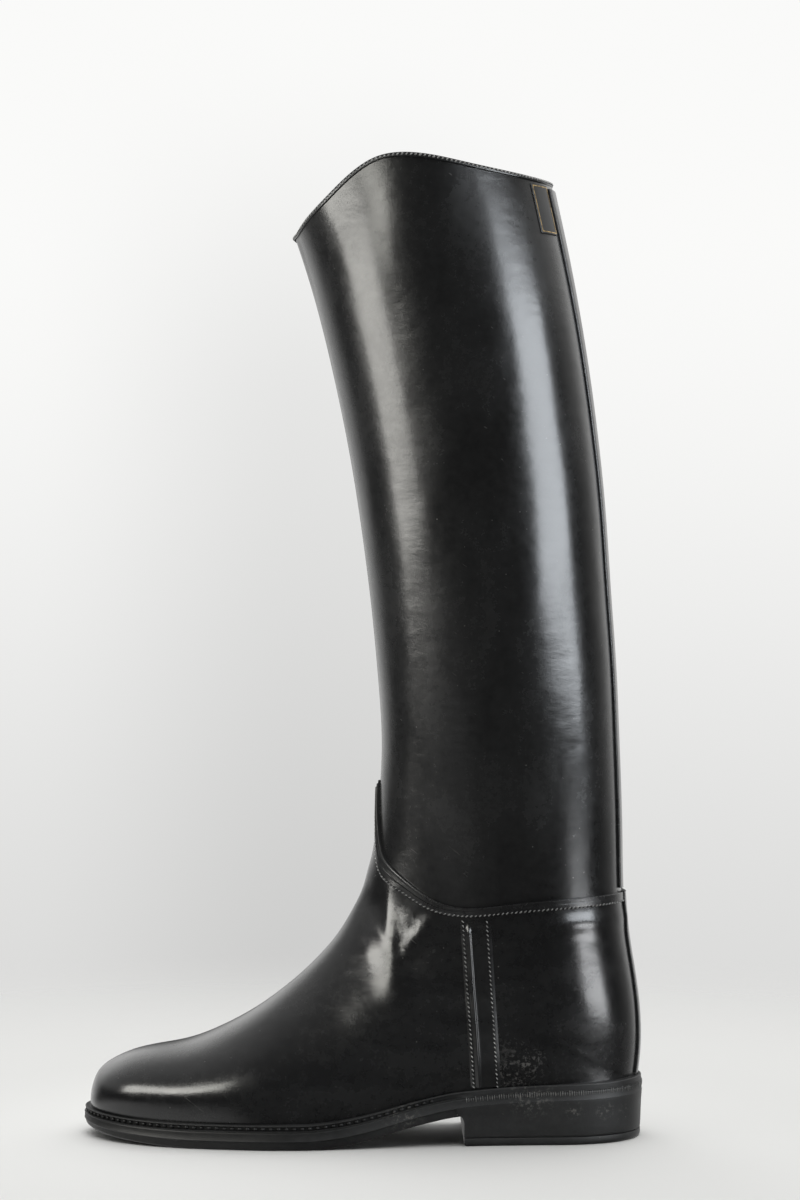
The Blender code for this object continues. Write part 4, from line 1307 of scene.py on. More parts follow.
@dataclass
class Upper(Assembly):
    """Leg and foot in one wall, one step thicker below the ankle line, with its cloth lining."""

    columns: int = 168
    crowding: float = 0.07
    foot_rows: int = 110
    ankle_rows: int = 46
    leg_rows: int = 150
    inner_every: int = 3
    sharp: float = 55.0
    edge_rounds: tuple[tuple[float, float], ...] = (
        (1.1, 0.0), (0.55, 0.02), (0.25, 0.10), (0.08, 0.26), (0.0, 0.5),
    )
    step_rise: float = 0.12
    lining_drop: float = 5.0
    lining_gap: float = 0.05
    lining_thickness: float = 0.5
    lining_flat: tuple[float, float] = (0.42, 0.62)
    lining_toe: float = 0.12
    lining_foot_rows: int = 60
    lining_leg_rows: int = 90
    weave_rise: float = 150.0

    def girth(self, count: int) -> Array:
        """Places on the girth, closer together at the front and the back."""
        spread = np.linspace(-1.0, 1.0, count + 1)
        return 0.5 + 0.5 * (spread - self.crowding * np.sin(2.0 * np.pi * spread))

    def rows(self, t: Array) -> list[tuple[Array, float, float | None]]:
        """Rows of the outer face from the toe to the collar.

        Args:
            t: places on the girth.

        Returns:
            Sections, height above the leg's wall, and the turn of rows that stand on the sole.
        """
        last = self.last
        ankle = last.section_at_height(t, last.ankle(last.round_share(t)))
        collar = last.section_at_height(t, last.collar(t))
        ankle[-1], collar[-1] = ankle[0], collar[0]
        turns = np.linspace(0.0, np.pi, self.foot_rows + 1)
        found = [(np.full(len(t), s), last.foot_step, float(turn))
                 for s, turn in zip(last.section_at_turn(turns), turns)]
        foot_top = ankle - self.edge_rounds[0][0]
        for share in np.linspace(0.0, 1.0, self.ankle_rows + 1)[1:]:
            found.append((last.heel_s + (foot_top - last.heel_s) * share, last.foot_step, None))
        for back, drop in self.edge_rounds[1:]:
            found.append((ankle - back, last.foot_step - drop, None))
        for share in np.linspace(0.0, 1.0, self.leg_rows + 1):
            found.append((ankle + self.step_rise + (collar - ankle - self.step_rise) * share, 0.0, None))
        return found

    def base_edge(self, turn: float, side: Side, offset: float) -> tuple[float, float, float]:
        """Point of the lower edge, on the seat, moved out from the feather line.

        Args:
            turn: turn of the feather line.
            side: side of the boot.
            offset: how far out.

        Returns:
            The point.
        """
        plan, way = self.last.feather_point(np.array([turn]), side)
        x, y = (plan + way * offset)[0]
        return x, y, float(self.last.seat_height(x))

    def build(self) -> None:
        """Build and dress the wall and its lining."""
        t = self.girth(self.columns)
        rows = self.rows(t)
        inner_rows = sorted(set(range(0, len(rows), self.inner_every)) | {self.foot_rows, len(rows) - 1})
        layers = [[(row, row[1]) for row in rows], [(rows[i], -self.last.leg_wall) for i in inner_rows]]
        points: list[Array] = []
        index: dict[tuple[int, int, int], int] = {}
        for layer, chosen in enumerate(layers):
            for i, ((s, _, turn), height) in enumerate(chosen):
                place = self.last.surface(s, t, np.full(len(t), height))
                if turn is not None:
                    place[0] = self.base_edge(turn, Side.OUTER, height)
                    place[-1] = self.base_edge(turn, Side.INNER, height)
                merged = turn is None or turn >= np.pi
                for j in range(len(t)):
                    if j and (i == 0 or (merged and j == self.columns)):
                        index[layer, i, j] = index[layer, i, 0]
                    else:
                        index[layer, i, j] = len(points)
                        points.append(place[j])
        faces = self.wall_faces(index, [len(layer) for layer in layers], inner_rows)
        seat(add_piece("boot_upper", points, faces, self.finishes.upper, self.sharp), Slot.UPPER, "upper")
        self.build_lining()

    def wall_faces(self, index: dict[tuple[int, int, int], int], counts: Sequence[int],
                   inner_rows: Sequence[int]) -> list[Face]:
        """Faces of the outer and inner walls, the collar's rim and the lower edge.

        Args:
            index: number of each point by layer, row and column.
            counts: rows of each layer.
            inner_rows: rows of the outer wall that the inner wall repeats.

        Returns:
            The faces.
        """
        faces: list[Face] = []
        for layer, count in enumerate(counts):
            for i in range(count - 1):
                for j in range(self.columns):
                    quad = (index[layer, i, j], index[layer, i, j + 1],
                            index[layer, i + 1, j + 1], index[layer, i + 1, j])
                    add_face(faces, quad if layer == 0 else quad[::-1])
        top, inner_top = counts[0] - 1, counts[1] - 1
        for j in range(self.columns):
            k = j + 1
            add_face(faces, (index[0, top, j], index[0, top, k],
                             index[1, inner_top, k], index[1, inner_top, j]))
        on_seat = [k for k, row in enumerate(inner_rows) if row <= self.foot_rows]
        for k in on_seat[:-1]:
            span = range(inner_rows[k], inner_rows[k + 1] + 1)
            for j in (0, self.columns):
                strip = [index[0, i, j] for i in span] + [index[1, k + 1, j], index[1, k, j]]
                add_face(faces, strip[::-1] if j == 0 else strip)
        return faces

    def build_lining(self) -> None:
        """Build the cloth inside the wall, from just below the collar to the seat."""
        last = self.last
        t = self.girth(self.columns // 2)
        collar = last.section_at_height(t, last.collar(t) - self.lining_drop)
        collar[-1] = collar[0]
        inside = last.section_at_turn(np.linspace(self.lining_toe, np.pi, self.lining_foot_rows))
        rows = [np.full(len(t), s) for s in inside[:-1]]
        shares = np.linspace(0.0, 1.0, self.lining_leg_rows)
        rows += [last.heel_s + (collar - last.heel_s) * share for share in shares]
        near = -last.leg_wall - self.lining_gap
        outer = [last.surface(s, t, np.full(len(t), near)) for s in rows]
        inner = [last.surface(s, t, np.full(len(t), near - self.lining_thickness)) for s in rows]
        loops = np.array(outer + inner[::-1])
        count, size = loops.shape[:2]
        faces = quads(count, size, round_rows=True, round_size=False)
        for j in (0, size - 1):
            for i in range(len(rows) - 1):
                a, b = i * size + j, (i + 1) * size + j
                c, d = (count - 2 - i) * size + j, (count - 1 - i) * size + j
                faces.append((a, b, c, d) if j == 0 else (d, c, b, a))
        lining = add_piece("boot_lining", loops.reshape(-1, 3), faces, self.finishes.lining)
        run = np.cumsum(np.append(0.0, np.linalg.norm(np.diff(loops[:, size // 2], axis=0), axis=-1)))
        around = (t - 0.5) * 2.0 * last.half_girth(np.array([last.heel_s + self.weave_rise]))[0]
        map_weave(lining, np.stack(np.meshgrid(run, around, indexing="ij")[::-1], -1).reshape(-1, 2))
        seat(lining, Slot.CLOTH)


@dataclass
class Overlay(Assembly):
    """Strip that lies on the upper, sunk a little into it so that no gap shows."""

    sink: float = 0.3
    fineness: int = 4

    def profile(self, relief: Relief) -> tuple[Array, Array]:
        """Finer cross-section through a relief's rows.

        Args:
            relief: place from one edge (-1) to the other (1), and height, for each row.

        Returns:
            Places across and heights.
        """
        knots, heights = np.array(relief).T
        shares = np.arange(self.fineness) / self.fineness
        across = np.append((knots[:-1, None] + np.diff(knots)[:, None] * shares).ravel(), knots[-1])
        return across, Curve.steady(knots, heights)(across)

    def lay(self, node: str, lie: Lie, across: Array, height: Array, level: float,
            finish: Material | None = None, slot: Slot = Slot.TRIM, closed: bool = False) -> None:
        """Build a strip, with a raised face and a sunk underside, and fix it to the boot.

        Args:
            node: the solid that it stands for.
            lie: gives sections and girth places of the strip's stations from places across.
            across: places across the strip.
            height: heights of its face.
            level: height of the wall that it lies on.
            finish: its finish, the trim's where none is given.
            slot: material slot of that finish.
            closed: True where its end meets its start.
        """
        face = self.last.surface(*lie(across), level + self.last.gap + height)
        under = self.last.surface(*lie(across[[-1, 0]]), level - self.sink)
        rings = np.concatenate([face, under], axis=1)
        seat(add_tube("boot_" + node, rings, finish or self.finishes.trim, closed), slot, node)

    def seam(self, lie: Lie, across: float, height: Any) -> Path:
        """Path along a strip for a row of stitches."""
        s, t = lie(np.array([across]))
        return self.last.surface(s, t, height)[:, 0], self.last.normal(s, t)[:, 0]


@dataclass
class AnkleBand(Overlay):
    """Raised band under the ankle line with two fine ridges, and its row of stitches."""

    stations: int = 260
    heel_strip_half: float = 9.0
    clearance: float = 0.5
    relief: Relief = (
        (-1.0, -0.25), (-0.9, 0.05), (-0.75, 0.25), (-0.3, 0.32),
        (-0.1, 0.34), (-0.02, 0.80), (0.06, 0.34), (0.5, 0.34),
        (0.62, 0.36), (0.71, 0.92), (0.80, 0.40), (0.92, 0.36), (1.0, 0.1),
    )
    plain_height: float = 0.36
    ridge_fade: tuple[float, float] = (0.30, 0.42)
    stitch_across: float = -0.80
    stitch_lift: float = 0.2
    stitch: StitchRow = StitchRow("ankle_stitches", 2.2, 1.9, 0.8, 1.1, 38.0, 0.3)

    def build(self) -> None:
        """Build and dress the band and its stitches."""
        last = self.last
        back = last.section_at_height([0.0], [last.ankle(1.0)])
        end = 1.0 - (self.heel_strip_half + self.clearance) / last.half_girth(back)[0]
        t = 0.5 + np.linspace(-end, end, self.stations) / 2.0
        share = last.round_share(t)
        top = last.section_at_height(t, last.ankle(share))
        low = last.section_at_height(t, last.ankle(share) - last.band(share))

        def lie(across: Array) -> tuple[Array, Array]:
            """Sections and girth places of the band's stations."""
            return low[:, None] + (top - low)[:, None] * (across + 1.0) / 2.0, t[:, None]

        across, height = self.profile(self.relief)
        plain = np.minimum(height, self.plain_height)
        height = plain + (height - plain) * (1.0 - ease(*self.ridge_fade, share))[:, None]
        self.lay("ankle_band", lie, across, height, last.foot_step)
        path = self.seam(lie, self.stitch_across, last.foot_step + last.gap + self.stitch_lift)
        self.sew(self.stitch, [path], self.finishes.stitch, Slot.TRIM)


@dataclass
class SideStrip(Overlay):
    """Strip over the join of the vamp and the counter, with a rounded ridge and two rows of stitches."""

    side: Side = Side.OUTER
    name: str = "side_strip_outer"
    stations: int = 60
    half_width: float = 7.4
    top: tuple[float, float] = (55.6, 109.6)
    foot_x: float = 60.4
    lift: float = 1.2
    plain_height: float = 0.30
    sunk_edge: float = -0.28
    ridge_fade: tuple[float, float] = (0.95, 0.99)
    end_fade: tuple[float, float] = (0.93, 1.0)
    relief: Relief = (
        (-1.0, -0.28), (-0.86, 0.10), (-0.66, 0.28), (-0.52, 1.20),
        (-0.44, 1.30), (-0.28, 0.30), (0.3, 0.30), (0.74, 0.22), (1.0, -0.28),
    )
    stitch_rows: tuple[float, ...] = (-0.82, 0.74)
    stitch_lift: float = 0.12
    stitch: StitchRow = StitchRow("stitches", 2.15, 1.9, 0.72, 1.0, -36.0, 0.3)

    def build(self) -> None:
        """Build and dress the strip and its stitches."""
        last = self.last
        foot_z = float(last.welt_top(self.foot_x + self.half_width)) + self.lift
        share = np.linspace(0.0, 1.0, self.stations)[:, None]

        def lie(across: Array) -> tuple[Array, Array]:
            """Sections and girth places of the strip's stations."""
            x = self.foot_x + (self.top[0] - self.foot_x) * share + across * self.half_width
            return last.flank_place(x, foot_z + (self.top[1] - foot_z) * share + 0.0 * x, self.side)

        across, height = self.profile(self.relief)
        plain = np.minimum(height, self.plain_height)
        face = plain + (height - plain) * (1.0 - ease(*self.ridge_fade, share))
        face += (self.sunk_edge - face) * ease(*self.end_fade, share)
        self.lay(self.name, lie, across, face, last.foot_step)
        level = last.foot_step + last.gap + self.stitch_lift
        rows = [self.seam(lie, row, level) for row in self.stitch_rows]
        slant = self.stitch.slant * self.side.value
        stitch = replace(self.stitch, name=self.name + "_" + self.stitch.name, slant=slant)
        self.sew(stitch, rows, self.finishes.stitch, Slot.TRIM)


@dataclass
class BackStrips(Overlay):
    """Strips down the back of the leg and the counter, the counter's with stitched edges."""

    leg_halves: tuple[float, float] = (12.0, 19.5)
    heel_half: float = 9.0
    reach: float = 0.86
    reach_samples: int = 5
    leg_stations: int = 130
    heel_stations: int = 60
    bead_width: float = 2.1
    clearance: float = 0.5
    leg_lift: float = 1.6
    heel_drop: float = 0.2
    relief: Relief = (
        (-1.0, -0.1), (-0.97, 0.80), (-0.93, 0.90), (-0.89, 0.40), (-0.82, 0.74),
        (-0.4, 0.84), (0.0, 0.90), (0.4, 0.84), (0.82, 0.74), (0.89, 0.40),
        (0.93, 0.90), (0.97, 0.80), (1.0, -0.1),
    )
    stitch_across: float = 0.88
    stitch_lift: float = 0.45
    stitch: StitchRow = StitchRow("heel_strip_stitches", 2.2, 1.5, 0.7, 0.8, 25.0, 0.3)

    def lie(self, heights: Array, half: Any) -> Lie:
        """Sections and girth places of a strip down the back.

        Args:
            heights: heights of its stations at the middle of the back.
            half: half of its width, one or one for each station.

        Returns:
            The function of the places across.
        """
        s = self.last.section_at_height(np.zeros(len(heights)), heights)[:, None]
        halves = np.broadcast_to(half, len(heights))[:, None]
        return lambda across: (s + 0.0 * across, self.last.back_place(s, across * halves))

    def build(self) -> None:
        """Build and dress both strips."""
        last = self.last
        across, height = self.profile(self.relief)
        ankle = float(last.ankle(1.0))
        near_back = np.linspace(self.reach, 1.0, self.reach_samples)
        edge = min(last.collar_outer(near_back).min(), last.collar_inner(near_back).min())
        leg = np.linspace(ankle + self.leg_lift, edge - self.bead_width - self.clearance, self.leg_stations)
        halves = np.linspace(*self.leg_halves, self.leg_stations)
        self.lay("back_strip_leg", self.lie(leg, halves), across, height, 0.0)
        foot = float(last.welt_top(last.length / 2.0)) + self.clearance
        heel = self.lie(np.linspace(foot, ankle - self.heel_drop, self.heel_stations), self.heel_half)
        self.lay("back_strip_heel", heel, across, height, last.foot_step)
        level = last.foot_step + last.gap + self.stitch_lift
        rows = [self.seam(heel, side * self.stitch_across, level) for side in (1.0, -1.0)]
        self.sew(self.stitch, rows, self.finishes.stitch, Slot.TRIM)


@dataclass
class Collar(Overlay):
    """Narrow bead round the collar's edge, knurled like a stitched binding."""

    stations: int = 320
    width: float = 2.1
    probe: float = 0.5
    least_crossing: float = 0.4
    back_drop: float = 0.75
    back_fade: tuple[float, float] = (0.86, 0.92)
    relief: Relief = ((-1.0, -0.1), (-0.7, 0.55), (0.1, 0.62), (1.0, 0.2))
    knurl_across: float = 0.1
    knurl_lift: float = 0.5
    knurl: StitchRow = StitchRow("collar_knurl", 2.2, 1.7, 1.1, 1.2, 42.0, 0.2)

    def build(self) -> None:
        """Build and dress the bead and its knurl."""
        last = self.last
        t = np.linspace(0.0, 1.0, self.stations + 1)[:-1]
        s = last.section_at_height(t, last.collar(t))
        edge = last.skin(s, t)
        path = np.roll(edge, -1, axis=0) - np.roll(edge, 1, axis=0)
        up = last.skin(s + self.probe, t) - last.skin(s - self.probe, t)
        rate = np.linalg.norm(up, axis=1)
        crossing = np.linalg.norm(np.cross(path, up), axis=1) / (np.linalg.norm(path, axis=1) * rate)
        drop = self.width / np.maximum(crossing, self.least_crossing) / rate

        def lie(across: Array) -> tuple[Array, Array]:
            """Sections and girth places of the bead's stations."""
            return s[:, None] - drop[:, None] * (1.0 - across) / 2.0, t[:, None]

        across, height = self.profile(self.relief)
        full = 1.0 - self.back_drop * ease(*self.back_fade, last.round_share(t))[:, None]
        self.lay("collar_bead", lie, across, height * full, 0.0, closed=True)
        points, ups = self.seam(lie, self.knurl_across, last.gap + self.knurl_lift * full)
        loop = (np.append(points, points[:1], axis=0), np.append(ups, ups[:1], axis=0))
        self.sew(self.knurl, [loop], self.finishes.stitch, Slot.TRIM)


@dataclass
class LabelPatch(Overlay):
    """Small blank patch beside the top of the back strip, framed by a thin gold line."""

    heights: tuple[float, float] = (446.0, 470.2)
    arc: tuple[float, float] = (21.8, 36.4)
    inset: float = 0.7
    line: float = 0.4
    line_top: float = 0.5
    line_foot: float = 0.2
    line_steps: int = 10
    stations: int = 14
    relief: Relief = (
        (-1.0, 0.1), (-0.92, 0.42), (0.92, 0.42), (1.0, 0.1),
    )

    def build(self) -> None:
        """Build and dress the patch and its line."""
        last = self.last
        middle, half = sum(self.arc) / 2.0, (self.arc[1] - self.arc[0]) / 2.0
        heights = np.linspace(*self.heights, self.stations)
        rows = last.section_at_height(np.zeros(self.stations), heights)[:, None]

        def lie(across: Array) -> tuple[Array, Array]:
            """Sections and girth places of the patch's stations."""
            return rows + 0.0 * across, last.back_place(rows, middle + across * half)

        self.lay("label_patch", lie, *self.profile(self.relief), 0.0, self.finishes.label, Slot.LABEL)
        self.build_line()

    def build_line(self) -> None:
        """Build the line round the patch as one flat frame."""
        share = np.arange(self.line_steps)[:, None] / self.line_steps
        loops = []
        for inset in (self.inset, self.inset + self.line):
            low, high = self.heights[0] + inset, self.heights[1] - inset
            near, far = self.arc[0] + inset, self.arc[1] - inset
            corners = np.array([(near, low), (far, low), (far, high), (near, high)])
            ends = np.roll(corners, -1, axis=0)
            loops.append(np.concatenate([a + (b - a) * share for a, b in zip(corners, ends)]))
        edges = []
        for loop, lift in zip((loops[0], loops[1], loops[1], loops[0]),
                              (self.line_top, self.line_top, self.line_foot, self.line_foot)):
            s = self.last.section_at_height(np.zeros(len(loop)), loop[:, 1])
            edges.append(self.last.surface(s, self.last.back_place(s, loop[:, 0]), self.last.gap + lift))
        line = add_tube("boot_label_line", np.stack(edges, axis=1), self.finishes.gold, closed=True)
        seat(line, Slot.LABEL)


class Rim(NamedTuple):
    """Point of a sole piece's side: inset from its edge, share of the way up, and a further lift."""

    inset: float
    share: float = 0.0
    lift: float = 0.0


@dataclass
class Sole(Assembly):
    """Outsole, welt, heel, heel lift and insole, with the welt's teeth and the heel's wheeling."""

    steps: int = 150
    heel_steps: int = 70
    insole_steps: int = 90
    plate_sharp: float = 50.0
    breast_x: float = 49.5
    lip: float = 4.0
    lip_start: float = 0.45
    lip_end: float = 0.85
    taper: float = 0.8
    lift_height: float = 4.0
    lift_gap: float = 0.12
    heel_rise: float = 4.9
    insole_clearance: float = 1.0
    lean_height: float = 1.2
    lean_row: int = 6
    least_lean: float = 0.12
    least_top: float = 0.6
    welt_tuck: float = 0.4
    welt_crown: float = 0.25
    welt_shoulder: float = 0.9
    plain_inset: float = 0.30
    groove_end: tuple[float, float] = (36.0, 54.0)
    teeth_inset: float = 1.25
    teeth_share: float = 0.49
    teeth: StitchRow = StitchRow("welt_teeth", 3.8, 2.3, 1.9, 1.7, 0.0, 0.15)
    wheel_start: float = 1.0
    wheel_stations: int = 90
    wheel_sink: float = 0.05
    wheel_share: float = 0.92
    wheeling: StitchRow = StitchRow("heel_wheeling", 1.15, 0.55, 3.4, 0.7, 0.0, 0.55)
    side: tuple[Rim, ...] = (
        Rim(2.2), Rim(1.4, 0.0, 0.15), Rim(0.85, 0.0, 0.55), Rim(0.6, 0.0, 1.2), Rim(0.45, 0.42),
        Rim(0.3, 0.47), Rim(-0.1, 0.495), Rim(-0.16, 0.515), Rim(0.02, 0.545), Rim(0.0, 0.90),
        Rim(0.06, 0.97), Rim(0.3, 1.0, 0.1),
    )
    welt: tuple[Rim, ...] = (
        Rim(2.3, 1.0), Rim(1.4, 1.0, -0.05), Rim(0.8, 1.0, 0.05), Rim(0.45, 0.96), Rim(0.30, 0.87),
        Rim(0.42, 0.78), Rim(1.5, 0.73), Rim(1.6, 0.26), Rim(0.35, 0.20), Rim(-0.06, 0.17), Rim(-0.1, 0.10),
        Rim(0.1),
    )
    heel: tuple[Rim, ...] = (
        Rim(0.45), Rim(0.12, 0.0, 0.25), Rim(0.0, 0.06), Rim(0.0, 0.30), Rim(0.0, 0.45), Rim(0.0, 0.55),
        Rim(0.0, 0.65), Rim(0.0, 0.75), Rim(-0.08, 0.85), Rim(-0.12, 0.93), Rim(-0.12, 0.985),
        Rim(-0.05, 1.0),
    )
    heel_lift: tuple[Rim, ...] = (
        Rim(1.7), Rim(0.9, lift=0.12), Rim(0.35, lift=0.6), Rim(0.08, lift=1.2), Rim(0.0, lift=2.0),
        Rim(0.0, lift=3.4), Rim(0.1, lift=3.85), Rim(0.5, lift=4.05),
    )
    insole: tuple[Rim, ...] = (
        Rim(0.3), Rim(0.0, lift=0.4), Rim(0.0, lift=2.2), Rim(0.3, lift=2.75), Rim(1.0, lift=3.0),
        Rim(6.0, lift=2.7), Rim(14.0, lift=2.4),
    )

    def loop(self, offset: float, steps: int, start: float = 0.0) -> Array:
        """Loop round the feather line, with the outer side first.

        Args:
            offset: how far the loop lies outside the line.
            steps: steps along one side.
            start: turn at which it starts; 0 is the tip of the toe, which both sides share.

        Returns:
            The places in plan.
        """
        turns = np.linspace(start, np.pi, steps + 1)
        outer, outer_way = self.last.feather_point(turns, Side.OUTER)
        inner, inner_way = self.last.feather_point(turns[0 if start else 1:-1], Side.INNER)
        return np.concatenate([outer + outer_way * offset, (inner + inner_way * offset)[::-1]])

    def heel_loop(self, offset: float, breast_x: float) -> Array:
        """Plan of the heel from its breast round the back."""
        return self.loop(offset, self.heel_steps, float(self.last.x_to_turn(breast_x)))

    @staticmethod
    def add_stack(name: str, loops: Sequence[Array], finish: Material, open_front: bool = False,
                  sharp: float = SHARP) -> Piece:
        """Piece of stacked loops, with strips of faces across its top and its bottom.

        Args:
            name: the piece's name.
            loops: its loops from the bottom up.
            finish: its finish.
            open_front: True where the loops start and end at a straight front edge.
            sharp: angle in degrees above which an edge stays sharp.

        Returns:
            The object.
        """
        levels, size = len(loops), len(loops[0])
        faces = quads(levels, size)
        back = 1 if open_front else 0
        for start, flip in ((0, True), ((levels - 1) * size, False)):
            for j in range(size // 2):
                a, b = start + j, start + j + 1
                c, d = start + (size - 1 - back - j) % size, start + (size - back - j) % size
                add_face(faces, (a, b, c, d), flip)
        return add_piece(name, np.concatenate(loops), faces, finish, sharp)

    def build(self) -> None:
        """Build and dress every piece of the sole."""
        self.build_outsole()
        self.build_welt()
        self.build_heel()
        self.build_wheeling()
        self.build_insole()

    def build_outsole(self) -> None:
        """Build the sole plate with its stepped side."""
        last = self.last
        loops = []
        for rim in self.side:
            plan = self.loop(last.sole_ledge - rim.inset, self.steps)
            low = last.underside(plan[:, 0])
            height = low + (last.outsole_top(plan[:, 0]) - low) * rim.share + rim.lift
            loops.append(np.column_stack([plan, height]))
        sole = self.add_stack("boot_outsole", loops, self.finishes.sole, sharp=self.plate_sharp)
        seat(sole, Slot.SOLE, "outsole")

    def welt_point(self, place: Array, share: float, lift: float = 0.0) -> tuple[float, ...]:
        """Point over a place in plan, at a share of the way up the welt."""
        low = self.last.outsole_top(place[0])
        return (*place, low + (self.last.welt_top(place[0]) - low) * share + lift)

    def build_welt(self) -> None:
        """Build the welt: a rolled rim over a groove with teeth."""
        last = self.last
        turns = np.linspace(0.0, np.pi, self.steps + 1)
        s = last.section_at_turn(turns)
        up = self.lean_height / last.half_girth(np.maximum(s, s[self.lean_row])) / 2.0
        foot = last.foot_step - self.welt_tuck
        rings, paths = [], []
        for side, chosen in ((Side.OUTER, range(len(turns))), (Side.INNER, range(len(turns) - 2, 0, -1))):
            teeth, ways = [], []
            normal = last.normal(s, up if side is Side.OUTER else 1.0 - up)
            lean = np.maximum(-normal[:, 2] / np.linalg.norm(normal[:, :2], axis=1), self.least_lean)
            plan, way = last.feather_point(turns, side)
            for i in chosen:
                reach = min(lean[i] * last.welt_height, last.sole_ledge - last.foot_step - self.least_top)
                profile = [(foot, 0.0, 0.0), (foot + reach, 1.0, self.welt_crown)]
                plain = ease(*self.groove_end, plan[i][0])
                for rim in self.welt:
                    extra = max(rim.inset - self.plain_inset, 0.0) * plain * (rim.share < self.welt_shoulder)
                    profile.append((last.sole_ledge - (rim.inset - extra), rim.share, rim.lift))
                ring = []
                for offset, share, lift in profile:
                    out = max(offset, foot + reach) if share > self.welt_shoulder else offset
                    ring.append(self.welt_point(plan[i] + way[i] * out, share, lift))
                rings.append(ring)
                if plan[i][0] < self.groove_end[0]:
                    groove = plan[i] + way[i] * (last.sole_ledge - self.teeth_inset)
                    teeth.append(self.welt_point(groove, self.teeth_share))
                    ways.append((*way[i], 0.0))
            paths.append((np.array(teeth), np.array(ways)))
        seat(add_tube("boot_welt", rings, self.finishes.sole, closed=True), Slot.SOLE, "welt")
        self.sew(self.teeth, paths, self.finishes.sole, Slot.SOLE)

    def build_heel(self) -> None:
        """Build the heel block with its lip, and its lift."""
        last = self.last
        edge = last.sole_ledge - self.taper
        low = self.lift_height + self.lift_gap
        block, lift = [], []
        for rim in self.heel:
            flare = max(0.0, min(rim.share, self.lip_end) - self.lip_start) / (self.lip_end - self.lip_start)
            offset = last.sole_ledge - self.taper * (1.0 - rim.share) - rim.inset
            plan = self.heel_loop(offset, self.breast_x - self.lip * flare ** 2 + max(rim.inset, 0.0))
            top = last.underside(plan[:, 0]) + self.heel_rise
            block.append(np.column_stack([plan, low + (top - low) * rim.share + rim.lift]))
        for rim in self.heel_lift:
            plan = self.heel_loop(edge - rim.inset, self.breast_x + rim.inset)
            lift.append(np.column_stack([plan, np.full(len(plan), rim.lift)]))
        for node, loops in (("heel", block), ("heel_lift", lift)):
            seat(self.add_stack("boot_" + node, loops, self.finishes.sole, True), Slot.SOLE, node)

    def build_wheeling(self) -> None:
        """Build the row of fine ticks above the heel."""
        last = self.last
        start = float(last.x_to_turn(self.breast_x + self.wheel_start))
        paths = []
        for side in Side:
            plan, way = last.feather_point(np.linspace(start, np.pi, self.wheel_stations), side)
            plan = plan + way * (last.sole_ledge - self.wheel_sink)
            base = last.underside(plan[:, 0])
            middle = base + (last.outsole_top(plan[:, 0]) - base) * self.wheel_share
            paths.append((np.column_stack([plan, middle]), np.column_stack([way, np.zeros(len(way))])))
        self.sew(self.wheeling, paths, self.finishes.tick, Slot.SOLE)

    def build_insole(self) -> None:
        """Build the insole with a rounded edge and a slight dish."""
        last = self.last
        inset = last.leg_wall + self.insole_clearance
        loops = []
        for rim in self.insole:
            plan = self.loop(-inset - rim.inset, self.insole_steps)
            loops.append(np.column_stack([plan, last.seat_height(plan[:, 0]) + rim.lift]))
        insole = self.add_stack("boot_insole", loops, self.finishes.insole)
        map_weave(insole, np.concatenate(loops)[:, :2])
        seat(insole, Slot.CLOTH, "insole")


# Studio


class SoftBox(NamedTuple):
    """Soft light in metres: its middle, its size, how bright its face is and what it lights."""

    name: str
    middle: Triple
    width: float
    height: float
    level: float
    tint: Colour
    roll: float
    mirrored: bool
    spreads: bool


